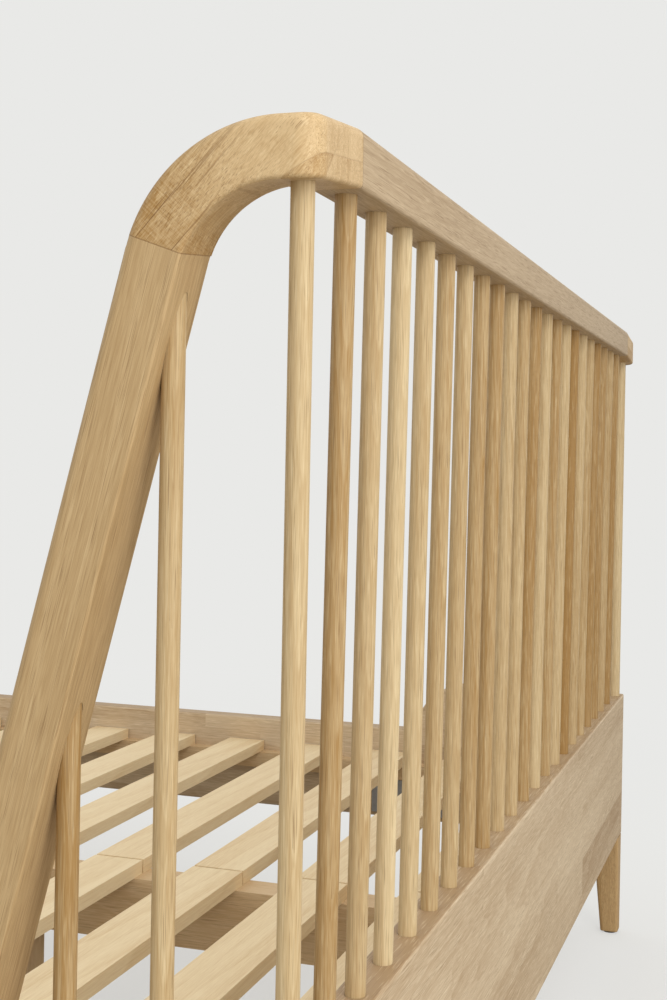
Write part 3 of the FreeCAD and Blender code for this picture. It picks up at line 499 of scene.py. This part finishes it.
class OakWorkshop:
    """Builds the shared shader groups once, and the material of each piece from them."""

    look = OakFigure()

    def __init__(self) -> None:
        """Build the groups."""
        self.figure = self.build_figure()
        self.boards = self.build_boards()
        self.seam = self.build_seam()

    def ring_turns(self, pen: NodePen, place: bpy.types.NodeSocket, wander: bpy.types.NodeSocket,
                   pitch: bpy.types.NodeSocket) -> bpy.types.NodeSocket:
        """Count the growth rings from the heart of the log, which sways along the fibres.

        Args:
            pen: the pen of the group.
            place: the place in the log.
            wander: how far the heart sways.
            pitch: the width of a ring.

        Returns:
            The socket that carries the count.
        """
        look = self.look
        spot = pen.vector("MULTIPLY_ADD", place, look.sway_grid)
        slow = pen.put("ShaderNodeTexNoise", {"Vector": spot, "Scale": 1.0, "Detail": 3.0})
        sway = pen.vector("SUBTRACT", slow.outputs["Color"], (0.5, 0.5, 0.5))
        across = pen.vector("MULTIPLY_ADD", pen.scaled(sway, wander), look.sway_reach)
        bent = pen.vector("ADD", place, across)
        radius = pen.vector("LENGTH", pen.vector("MULTIPLY_ADD", bent, look.ring_taper))
        return pen.math("DIVIDE", radius, pitch)

    def build_figure(self) -> bpy.types.NodeTree:
        """Oak figure: rings, pores, ray flecks, checks and fibre, with the fibres along the first axis.

        Returns:
            The shader group.
        """
        look = self.look
        white = (1.0, 1.0, 1.0, 1.0)
        tree, pen, source, target = new_group(
            "oak figure",
            [("Vector", "Vector", None), ("Pale", "Color", white), ("Dark", "Color", white),
             ("Pore", "Color", white), ("Ring Pitch", "Float", 0.005), ("Wander", "Float", 0.5),
             ("Pore Amount", "Float", 0.5), ("Fleck Amount", "Float", 0.25),
             ("Check Amount", "Float", 0.0), ("Contrast", "Float", 1.0), ("Tone", "Float", 0.0)],
            [("Color", "Color"), ("Height", "Float"), ("Gloss Loss", "Float")],
        )
        given = source.outputs
        place = given["Vector"]

        # Rings: the shade deepens over each year and falls back at its end, more in some years than others.
        turns = self.ring_turns(pen, place, given["Wander"], given["Ring Pitch"])
        saw = pen.math("FRACT", turns)
        ring = pen.math("SUBTRACT", pen.math("POWER", saw, look.early_curve), pen.ramp(saw, *look.late_band))
        year = pen.dice(pen.math("FLOOR", turns)).outputs["Value"]
        weight = pen.math("MULTIPLY_ADD", year, look.year_spread, 1.0 - look.year_spread)
        rings = pen.math("MULTIPLY", ring, weight)

        # Broad shade, fibre and streaks.
        broad = pen.ramp(pen.grained(place, look.broad_grid, 3.0), *look.broad_band)
        fibre = pen.grained(place, look.fibre_grid, 2.0)
        streak = pen.grained(place, look.streak_grid, 3.0)

        # Pores: short dashes, most of them in the first wood of the year.
        dash = pen.ramp(pen.grained(place, look.pore_grid, 1.0), *look.pore_band)
        belt = pen.ramp(pen.math("SUBTRACT", 1.0, saw), *look.pore_belt)
        strength = pen.math("MULTIPLY_ADD", belt, 1.0 - look.pore_least, look.pore_least)
        pores = pen.math("MULTIPLY", pen.math("MULTIPLY", dash, strength), given["Pore Amount"])

        # Checks: fine splits of end grain, and the faint weave of lines across them.
        crack = pen.ramp(pen.grained(place, look.check_grid, 1.0, look.check_shift), *look.check_band)
        checks = pen.math("MULTIPLY", crack, given["Check Amount"])
        pores = pen.math("MAXIMUM", pores, pen.math("MULTIPLY", checks, look.check_depth))
        cross = pen.grained(place, look.weave_grid, 1.0, look.weave_shift)
        weave = pen.math("MULTIPLY", pen.math("SUBTRACT", cross, 0.5), given["Check Amount"])

        # Flecks: paler patches where the rays lie in the surface.
        ray = pen.ramp(pen.grained(place, look.fleck_grid, 1.0, look.fleck_shift), *look.fleck_band)
        flecks = pen.math("MULTIPLY", ray, given["Fleck Amount"])

        # All of it together, as a share of the dark colour.
        share = pen.math("MULTIPLY", broad, look.broad_weight)
        share = pen.math("MULTIPLY_ADD", rings, look.ring_weight, share)
        streaks = pen.math("MULTIPLY_ADD", streak, look.streak_weight, look.streak_level)
        fibres = pen.math("MULTIPLY_ADD", fibre, look.fibre_weight, look.fibre_level)
        share = pen.math("ADD", pen.math("ADD", share, streaks), fibres)
        share = pen.math("MULTIPLY_ADD", weave, look.weave_weight, share)
        share = pen.math("SUBTRACT", share, look.middle)
        share = pen.math("MULTIPLY_ADD", share, given["Contrast"], look.middle)
        share = pen.math("ADD", share, given["Tone"])
        limit = pen.put("ShaderNodeClamp", {0: share, 1: 0.0, 2: look.darkest}).outputs[0]
        wood = pen.blend(limit, given["Pale"], given["Dark"])
        wood = pen.blend(pen.math("MULTIPLY", flecks, look.fleck_weight), wood, given["Pale"], "SCREEN")
        wood = pen.blend(pores, wood, given["Pore"])
        height = pen.math("SUBTRACT", pen.math("MULTIPLY", fibre, look.fibre_height), pores)
        pen.feed(target, Color=wood, Height=height, Gloss_Loss=pores)
        return tree

    def build_boards(self) -> bpy.types.NodeTree:
        """Glued boards: each has its own tone and its own spot in the log, with a fine line between rows.

        Returns:
            The shader group.
        """
        stave_stride = 17.3
        jump_reach = (3.0, 0.11, 0.07)
        tone_spread = 0.5
        glue_width = 0.0007
        tree, pen, source, target = new_group(
            "glued boards",
            [("Vector", "Vector", None), ("Along", "Float", 0.0), ("Across", "Float", 0.0),
             ("Width", "Float", 1.0), ("Length", "Float", 100.0), ("Seed", "Float", 0.0)],
            [("Vector", "Vector"), ("Tone", "Float"), ("Line", "Float")],
        )
        given = source.outputs
        place = pen.math("DIVIDE", given["Across"], given["Width"])
        row = pen.math("ADD", pen.math("FLOOR", place), given["Seed"])
        start = pen.dice(row).outputs["Value"]
        reach = pen.math("ADD", pen.math("DIVIDE", given["Along"], given["Length"]), start)
        dice = pen.dice(pen.math("MULTIPLY_ADD", pen.math("FLOOR", reach), stave_stride, row))
        jump = pen.vector("MULTIPLY_ADD", dice.outputs["Color"], jump_reach, given["Vector"])
        tone = pen.math("MULTIPLY_ADD", dice.outputs["Value"], tone_spread, -tone_spread / 2)
        side = pen.math("ABSOLUTE", pen.math("SUBTRACT", pen.math("FRACT", place), 0.5))
        gap = pen.math("MULTIPLY", pen.math("SUBTRACT", 0.5, side), given["Width"])
        line = pen.math("SUBTRACT", 1.0, pen.ramp(gap, 0.0, glue_width))
        pen.feed(target, Vector=jump, Tone=tone, Line=line)
        return tree

    def build_seam(self) -> bpy.types.NodeTree:
        """The fine dark line where two pieces meet on one plane, and the side that lies beyond it.

        Returns:
            The shader group.
        """
        soft_from = 0.35
        tree, pen, source, target = new_group(
            "joint line",
            [("Vector", "Vector", None), ("Facing", "Vector", None), ("Level", "Float", 0.0),
             ("Width", "Float", 0.0008)],
            [("Line", "Float"), ("Beyond", "Float")],
        )
        given = source.outputs
        along = pen.vector("DOT_PRODUCT", given["Vector"], given["Facing"])
        away = pen.math("ABSOLUTE", pen.math("SUBTRACT", along, given["Level"]))
        share = pen.math("DIVIDE", away, given["Width"])
        line = pen.math("SUBTRACT", 1.0, pen.ramp(share, soft_from, 1.0))
        pen.feed(target, Line=line, Beyond=pen.math("GREATER_THAN", along, given["Level"]))
        return tree

    def joint(self, pen: NodePen, place: bpy.types.NodeSocket, normal: Point, level: float,
              width: float) -> bpy.types.Node:
        """Place the joint group in a material.

        Args:
            pen: the pen of the material.
            place: the place on the piece.
            normal: the plane's normal.
            level: how far along its normal the plane lies.
            width: the width of the line.

        Returns:
            The group's node.
        """
        terms = {"Vector": place, "Facing": normal, "Level": level, "Width": width}
        return pen.put("ShaderNodeGroup", terms, node_tree=self.seam)

    def oak(self, name: str, finish: OakFinish, grain: Grain, seed: int, tone: float = 0.0,
            seams: Sequence[Joint] = (), block: Optional[GluedBlock] = None) -> bpy.types.Material:
        """Make the material of one piece of oak.

        Args:
            name: the material's name.
            finish: the cut of oak.
            grain: which way its fibres run.
            seed: which spot of the log the piece comes from.
            tone: darker above 0, paler below.
            seams: the joints whose line crosses the piece.
            block: how the piece is glued up inside, if it is a corner block.

        Returns:
            The material.
        """
        seed_stride = 7.31
        look = self.look
        material, pen, spots = new_material(name)
        place = spots.outputs["Object"]
        along, across, up = [pen.vector("DOT_PRODUCT", place, tuple(way)) for way in grain.basis()]
        turned = pen.put("ShaderNodeCombineXYZ", {0: along, 1: across, 2: up}).outputs[0]
        boards = pen.put("ShaderNodeGroup", {
            "Vector": turned, "Along": along, "Across": up, "Width": finish.board_width,
            "Length": finish.stave_length, "Seed": seed * seed_stride}, node_tree=self.boards)
        spot = pen.vector("ADD", boards.outputs["Vector"], spot_in_log(seed))
        facing = pen.put("ShaderNodeSeparateXYZ", {0: spots.outputs["Normal"]}).outputs["Z"]
        shade = pen.math("ADD", boards.outputs["Tone"], tone)
        # Faces looking upwards are darkened here: painted shade on top faces, as though bedding and spindles
        # shaded them.
        shade = pen.math("MULTIPLY_ADD", pen.ramp(facing, *look.top_shade_band), finish.top_painted_shade, shade)
        line = pen.math("MULTIPLY", boards.outputs["Line"], finish.line_amount)
        checks: object = finish.check_amount
        if block is not None:
            depth = pen.put("ShaderNodeSeparateXYZ", {0: place}).outputs["Y"]
            crown = pen.ramp(depth, block.crown_y, block.crown_y + block.crown_fade)
            end_grain = pen.math("SUBTRACT", 1.0, pen.ramp(depth, *block.end_band))
            shade = pen.math("MULTIPLY_ADD", end_grain, block.end_shade, shade)
            fading = pen.math("MULTIPLY_ADD", end_grain, 1.0 - block.check_least, block.check_least)
            checks = pen.math("MULTIPLY", fading, finish.check_amount)
            for lap in block.laps:
                glued = self.joint(pen, place, lap.normal, lap.level, block.line_width)
                beyond = pen.math("MULTIPLY", glued.outputs["Beyond"], crown)
                jump = pen.scaled(block.board_shift, pen.math("ROUND", beyond))
                spot = pen.vector("ADD", spot, jump)
                shade = pen.math("ADD", shade, pen.math("MULTIPLY", beyond, lap.step))
                shown = pen.math("MULTIPLY", glued.outputs["Line"], crown)
                line = pen.math("MAXIMUM", line, pen.math("MULTIPLY", shown, block.line_amount))
        for seam in seams:
            met = self.joint(pen, place, seam.normal, seam.level, seam.width)
            line = pen.math("MAXIMUM", line, met.outputs["Line"])
        figure = pen.put("ShaderNodeGroup", {
            "Vector": spot, "Pale": (*finish.pale, 1.0), "Dark": (*finish.dark, 1.0),
            "Pore": (*finish.pore, 1.0), "Ring Pitch": finish.ring_pitch, "Wander": finish.wander,
            "Pore Amount": finish.pore_amount, "Fleck Amount": finish.fleck_amount,
            "Check Amount": checks, "Contrast": finish.contrast, "Tone": shade}, node_tree=self.figure)
        darkening = pen.math("MULTIPLY", line, look.line_darkness)
        colour = pen.blend(darkening, figure.outputs["Color"], finish.pore)
        rough = pen.math("MULTIPLY_ADD", figure.outputs["Gloss Loss"], look.pore_dulling, finish.roughness)
        height = pen.math("MULTIPLY_ADD", line, look.line_height, figure.outputs["Height"])
        bump = pen.put("ShaderNodeBump", {
            "Height": height, "Distance": finish.relief, "Strength": look.bump_strength})
        shader = pen.put("ShaderNodeBsdfPrincipled", {
            "Base Color": colour, "Roughness": rough, "Normal": bump.outputs[0],
            "Specular IOR Level": look.gloss})
        pen.put("ShaderNodeOutputMaterial", {"Surface": shader.outputs[0]})
        return material

    def metal(self, name: str, finish: MetalFinish) -> bpy.types.Material:
        """Make a metal with fine brushing and small scuffs.

        Args:
            name: the material's name.
            finish: the metal.

        Returns:
            The material.
        """
        material, pen, spots = new_material(name)
        place = spots.outputs["Object"]
        brush = pen.grained(place, finish.brush_grid, 2.0)
        scuff = pen.ramp(pen.noise(place, finish.scuff_scale, 3.0), *finish.scuff_band)
        scuffed = tuple(finish.scuff_shade * part for part in finish.colour)
        colour = pen.blend(pen.math("MULTIPLY", scuff, finish.scuff_amount), finish.colour, scuffed)
        smooth = finish.roughness - finish.brush_level
        rough = pen.math("MULTIPLY_ADD", brush, finish.brush_roughness, smooth)
        bump = pen.put("ShaderNodeBump", {
            "Height": brush, "Distance": finish.relief, "Strength": finish.bump_strength})
        shader = pen.put("ShaderNodeBsdfPrincipled", {
            "Base Color": colour, "Roughness": rough, "Metallic": finish.metallic, "Normal": bump.outputs[0]})
        pen.put("ShaderNodeOutputMaterial", {"Surface": shader.outputs[0]})
        return material

    def felt(self, name: str, finish: FeltFinish) -> bpy.types.Material:
        """Make the felt of the floor glides.

        Args:
            name: the material's name.
            finish: the felt.

        Returns:
            The material.
        """
        material, pen, spots = new_material(name)
        fluff = pen.noise(spots.outputs["Object"], finish.fluff_scale, 4.0)
        colour = pen.blend(fluff, finish.dark, finish.pale)
        bump = pen.put("ShaderNodeBump", {
            "Height": fluff, "Distance": finish.relief, "Strength": finish.bump_strength})
        shader = pen.put("ShaderNodeBsdfPrincipled", {
            "Base Color": colour, "Roughness": finish.roughness, "Normal": bump.outputs[0],
            "Sheen Weight": finish.sheen})
        pen.put("ShaderNodeOutputMaterial", {"Surface": shader.outputs[0]})
        return material


def dress(frame: dict, node: str, material: bpy.types.Material) -> None:
    """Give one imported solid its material.

    Args:
        node: the solid's name.
        material: its finish.
    """
    piece = frame["nodes"][node]
    piece.data.materials.clear()
    piece.data.materials.append(material)
    log.info("%s wears %s", node, material.name)


@dataclass
class HeadboardFrame:
    """The top rail, the corner blocks that turn it forwards, and the raking arms."""

    rail_half: float = 0.762
    seam_width: float = 0.0006
    arch_y: float = 1.0144
    arch_z: float = 0.934
    joint_angle: float = 19.5
    slope: float = 0.108
    wing_middle: float = 0.830
    rail_seed: int = 3
    rail_tone: float = -0.02
    block_seeds: Dict[str, int] = field(default_factory=lambda: {"right": 11, "left": 14})
    block_tone: float = -0.10
    arm_seeds: Dict[str, int] = field(default_factory=lambda: {"right": 21, "left": 24})
    slanted_face: Lap = Lap((-0.0996, 0.5361, -0.8383), -0.3715, 0.22)
    mitred_face: Lap = Lap((-0.733, 0.0, -0.680), -1.2929, -0.10)

    def arch_seam(self, side: float) -> Joint:
        """The joint between corner block and arm.

        Args:
            side: 1 on the right of the bed and -1 on the left.

        Returns:
            The joint.
        """
        angle = math.radians(self.joint_angle)
        normal = Vector((side * self.slope * math.cos(angle), math.sin(angle), math.cos(angle)))
        drop = self.slope * (self.wing_middle - self.rail_half)
        point = Vector((side * self.wing_middle, self.arch_y, self.arch_z - drop))
        return Joint(tuple(normal), normal.dot(point), self.seam_width)

    def finish(self, frame: dict, shop: OakWorkshop) -> None:
        """Dress the frame of the headboard.

        Args:
            shop: the maker of materials.
        """
        ends = [Joint((1.0, 0.0, 0.0), side * self.rail_half, self.seam_width) for side in (-1.0, 1.0)]
        rail = shop.oak("top rail oak", RAIL_OAK, Grain.ALONG_X, self.rail_seed, self.rail_tone, ends)
        dress(frame, "top_rail", rail)
        for side, hand in HANDS:
            arch = self.arch_seam(side)
            grain = Grain.CORNER_RIGHT if side > 0 else Grain.CORNER_LEFT
            glued = GluedBlock((self.slanted_face.on(side), self.mitred_face.on(side)))
            block = shop.oak("corner oak " + hand, CORNER_OAK, grain, self.block_seeds[hand],
                             self.block_tone, ends + [arch], glued)
            dress(frame, "corner_block_" + hand, block)
            arm = shop.oak("arm oak " + hand, ARM_OAK, Grain.ALONG_ARM, self.arm_seeds[hand], 0.0, [arch])
            dress(frame, "arm_" + hand, arm)


@dataclass
class SpindleRow:
    """The round spindles, each turned from its own stick."""

    count: int = 21
    first_seed: int = 31
    tones: Tuple[float, ...] = (0.24, -0.04, 0.12, 0.00, -0.12, 0.10, -0.06, -0.10, 0.20, 0.04)
    tone_stride: int = 3
    # Painted shade: the row's tone deepens step by step towards its far end, up to a limit.
    row_shade_step: float = 0.035
    row_shade_most: float = 0.30
    corner_tone: float = 0.08
    # Painted shade: the wing spindles are darkened all over.
    wing_painted_shade: float = 0.26

    def names(self) -> List[str]:
        """List the spindles.

        Returns:
            Their names, from the far end of the row to the photographed one, then the wings'.
        """
        row = ["spindle_%02d" % (index + 1) for index in range(self.count)]
        wings = ["spindle_corner", "spindle_wing_rear", "spindle_wing_front"]
        return row + [name + "_" + hand for _, hand in HANDS for name in wings]

    def tone(self, index: int, name: str) -> float:
        """Pick a spindle's tone.

        Args:
            index: its place in the list of names.
            name: its name.

        Returns:
            The tone, which in the row deepens towards the far end as painted shade; the wing spindles' tone
            is painted shade too.
        """
        if index >= self.count:
            # The wing spindles' tone is painted shade.
            return self.corner_tone if "corner" in name else self.wing_painted_shade
        own = self.tones[(index * self.tone_stride) % len(self.tones)]
        return own + min(self.row_shade_step * (self.count - 1 - index), self.row_shade_most)

    def finish(self, frame: dict, shop: OakWorkshop) -> None:
        """Dress every spindle with a cut of its own.

        Args:
            shop: the maker of materials.
        """
        for index, name in enumerate(self.names()):
            stick = shop.oak("oak " + name, SPINDLE_OAK, Grain.ALONG_Z, self.first_seed + index,
                             self.tone(index, name))
            dress(frame, name, stick)


@dataclass
class BedBase:
    """The glued boards and rails round the deck, their posts and the four legs."""

    board_seeds: Dict[str, int] = field(default_factory=lambda: {"bottom_rail": 61, "foot_rail": 64})
    side_seed: int = 71
    side_stride: int = 4
    upright_seed: int = 81
    upright_stride: int = 5

    def finish(self, frame: dict, shop: OakWorkshop) -> None:
        """Dress the base.

        Args:
            shop: the maker of materials.
        """
        for name, seed in self.board_seeds.items():
            dress(frame, name, shop.oak("oak " + name, BOARD_OAK, Grain.ALONG_X, seed))
        for step, (_, hand) in enumerate(HANDS):
            for name in ("side_cheek", "side_rail"):
                seed = self.side_seed + step * self.side_stride + len(name)
                board = shop.oak("oak %s %s" % (name, hand), BOARD_OAK, Grain.ALONG_Y, seed)
                dress(frame, name + "_" + hand, board)
            for name in ("leg_head", "leg_foot", "head_post", "foot_post"):
                cut = LEG_OAK if name.startswith("leg") else INNER_OAK
                seed = self.upright_seed + step * self.upright_stride + len(name) * 3
                upright = shop.oak("oak %s %s" % (name, hand), cut, Grain.ALONG_Z, seed)
                dress(frame, name + "_" + hand, upright)


@dataclass
class SlatDeck:
    """The deck inside the base: slats, ledgers, centre beam and its supports."""

    slat_seed: int = 101
    ledger_seed: int = 105
    beam_seed: int = 108
    rest_seed: int = 109
    support_seed: int = 111

    def finish(self, frame: dict, shop: OakWorkshop) -> None:
        """Dress the deck.

        Args:
            shop: the maker of materials.
        """
        for step, (_, hand) in enumerate(HANDS):
            slats = shop.oak("slat wood " + hand, SLAT_WOOD, Grain.ALONG_X, self.slat_seed + step)
            dress(frame, "slats_" + hand, slats)
            ledger = shop.oak("ledger oak " + hand, INNER_OAK, Grain.ALONG_Y, self.ledger_seed + step)
            dress(frame, "ledger_" + hand, ledger)
        dress(frame, "centre_beam", shop.oak("beam oak", INNER_OAK, Grain.ALONG_Y, self.beam_seed))
        dress(frame, "beam_rests", shop.oak("rest oak", INNER_OAK, Grain.ALONG_X, self.rest_seed))
        for step, end in enumerate(("head", "foot")):
            support = shop.oak("support oak " + end, INNER_OAK, Grain.ALONG_Z, self.support_seed + step)
            dress(frame, "centre_support_" + end, support)


@dataclass
class Hardware:
    """Bolts, screws, plates, levelling feet and floor glides."""

    zinc_pieces: Tuple[str, ...] = ("joining_plates", "levelling_foot_head", "levelling_foot_foot")
    bright_pieces: Tuple[str, ...] = ("post_bolts", "plate_screws")

    def finish(self, frame: dict, shop: OakWorkshop) -> None:
        """Dress the hardware.

        Args:
            shop: the maker of materials.
        """
        zinc = shop.metal("zinc plated steel", ZINC)
        bright = shop.metal("bright steel", PLATED)
        for name in self.zinc_pieces:
            dress(frame, name, zinc)
        for name in self.bright_pieces:
            dress(frame, name, bright)
        dress(frame, "floor_glides", shop.felt("dark felt", GLIDE_FELT))


@dataclass(frozen=True)
class Lamp:
    """One soft square light: where it hangs, what it looks at, its side in metres and its watts."""

    name: str
    where: Point
    aim: Point
    size: float
    power: float
    colour: Colour = (1.0, 0.99, 0.97)


@dataclass
class Studio:
    """Pale floor and backdrop, soft light, and the camera close behind the near end of the headboard."""

    eye: Point = (1.69356, 1.33405, 0.8161)
    heading: float = 18.32
    roll: float = 0.01887
    focal_pixels: float = 1427.95
    horizon: float = 459.93
    image_size: Tuple[int, int] = (667, 1000)
    film_size: Tuple[float, float] = (24.0, 36.0)
    clip: Band = (0.02, 60.0)
    backdrop: Colour = srgb(233, 233, 231)
    daylight: float = 1.12
    floor_half: float = 20.0
    floor_tints: Tuple[Colour, Colour] = (srgb(230, 230, 228), srgb(234, 234, 232))
    floor_bounce: Colour = srgb(178, 174, 168)
    floor_roughness: float = 0.85
    floor_gloss: float = 0.1
    cloud_scale: float = 0.8
    fade_band: Band = (1.1, 3.4)
    fade_least: float = 0.6
    lamps: Tuple[Lamp, ...] = (
        Lamp("key", (2.5, 2.8, 2.7), (0.5, 1.0, 0.95), 1.7, 40.0),
        Lamp("lift", (1.9, 3.1, 0.9), (0.8, 1.0, 0.85), 1.5, 22.0),
    )

    def build_camera(self) -> None:
        """Stand the camera where the perspective of the bed says."""
        data = bpy.data.cameras.new("camera")
        camera = bpy.data.objects.new("camera", data)
        bpy.context.scene.collection.objects.link(camera)
        angle = math.radians(self.heading)
        ahead = Vector((-math.cos(angle), -math.sin(angle), 0.0))
        right = Vector((-math.sin(angle), math.cos(angle), 0.0))
        upward = Vector((0.0, 0.0, 1.0))
        leaned_right = right * math.cos(self.roll) + upward * math.sin(self.roll)
        leaned_up = upward * math.cos(self.roll) - right * math.sin(self.roll)
        turn = Matrix((leaned_right, leaned_up, -ahead)).transposed()
        camera.matrix_world = Matrix.Translation(Vector(self.eye)) @ turn.to_4x4()
        film_width, film_height = self.film_size
        image_height = self.image_size[1]
        data.sensor_fit = "VERTICAL"
        data.sensor_height = film_height
        data.sensor_width = film_width
        data.lens = film_height * self.focal_pixels / image_height
        data.shift_y = -(image_height / 2 - self.horizon) / image_height
        data.clip_start, data.clip_end = self.clip
        bpy.context.scene.camera = camera

    def build_floor(self) -> None:
        """A wide pale floor that fades into the backdrop's tint with distance, as the camera sees it.

        The light that it throws back on the bed comes from a darker tint of its own.
        """
        half = self.floor_half
        corners = [(-half, -half, 0.0), (half, -half, 0.0), (half, half, 0.0), (-half, half, 0.0)]
        mesh = bpy.data.meshes.new("studio_floor")
        mesh.from_pydata(corners, [], [(0, 1, 2, 3)])
        floor = bpy.data.objects.new("studio_floor", mesh)
        bpy.context.scene.collection.objects.link(floor)
        material, pen, spots = new_material("pale floor")
        place = spots.outputs["Object"]
        seen = pen.put("ShaderNodeLightPath").outputs["Is Camera Ray"]
        pale = pen.blend(pen.noise(place, self.cloud_scale, 2.0), *self.floor_tints)
        colour = pen.blend(seen, self.floor_bounce, pale)
        shader = pen.put("ShaderNodeBsdfPrincipled", {
            "Base Color": colour, "Roughness": self.floor_roughness,
            "Specular IOR Level": self.floor_gloss})
        far = pen.put("ShaderNodeEmission", {"Color": (*self.backdrop, 1.0), "Strength": 1.0})
        fade = pen.ramp(pen.vector("LENGTH", place), *self.fade_band)
        fade = pen.math("MULTIPLY_ADD", fade, 1.0 - self.fade_least, self.fade_least)
        share = pen.math("MULTIPLY", fade, seen)
        mixed = pen.put("ShaderNodeMixShader", {0: share, 1: shader.outputs[0], 2: far.outputs[0]})
        pen.put("ShaderNodeOutputMaterial", {"Surface": mixed.outputs[0]})
        mesh.materials.append(material)

    def hang(self, lamp: Lamp) -> None:
        """Hang one soft light.

        Args:
            lamp: the light.
        """
        data = bpy.data.lights.new(lamp.name, "AREA")
        data.shape = "SQUARE"
        data.size = lamp.size
        data.energy = lamp.power
        data.color = lamp.colour
        panel = bpy.data.objects.new(lamp.name, data)
        panel.location = lamp.where
        panel.rotation_euler = (Vector(lamp.aim) - Vector(lamp.where)).to_track_quat("-Z", "Y").to_euler()
        bpy.context.scene.collection.objects.link(panel)

    def build_light(self) -> None:
        """Even pale surroundings, and two lamps behind the near end of the headboard, one high, one low.

        The surroundings light the bed a little more strongly than the camera sees them.
        """
        world = bpy.data.worlds.new("studio")
        world.use_nodes = True
        pen = NodePen(world.node_tree)
        seen = pen.put("ShaderNodeLightPath").outputs["Is Camera Ray"]
        strength = pen.math("MULTIPLY_ADD", seen, 1.0 - self.daylight, self.daylight)
        back = pen.put("ShaderNodeBackground", {"Color": (*self.backdrop, 1.0), "Strength": strength})
        pen.put("ShaderNodeOutputWorld", {"Surface": back.outputs[0]})
        bpy.context.scene.world = world
        for lamp in self.lamps:
            self.hang(lamp)
        bpy.context.scene.view_settings.view_transform = "Standard"

    def build(self) -> None:
        """Build the whole studio."""
        self.build_floor()
        self.build_light()
        self.build_camera()
        log.info("studio ready")


def main() -> None:
    """Dress the bed, piece by piece, and set up the studio."""
    logging.basicConfig(level=logging.INFO, format="%(name)s: %(message)s")
    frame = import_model()
    shop = OakWorkshop()
    for assembly in (HeadboardFrame(), SpindleRow(), BedBase(), SlatDeck(), Hardware()):
        assembly.finish(frame, shop)
    Studio().build()


if __name__ == "__main__":
    main()
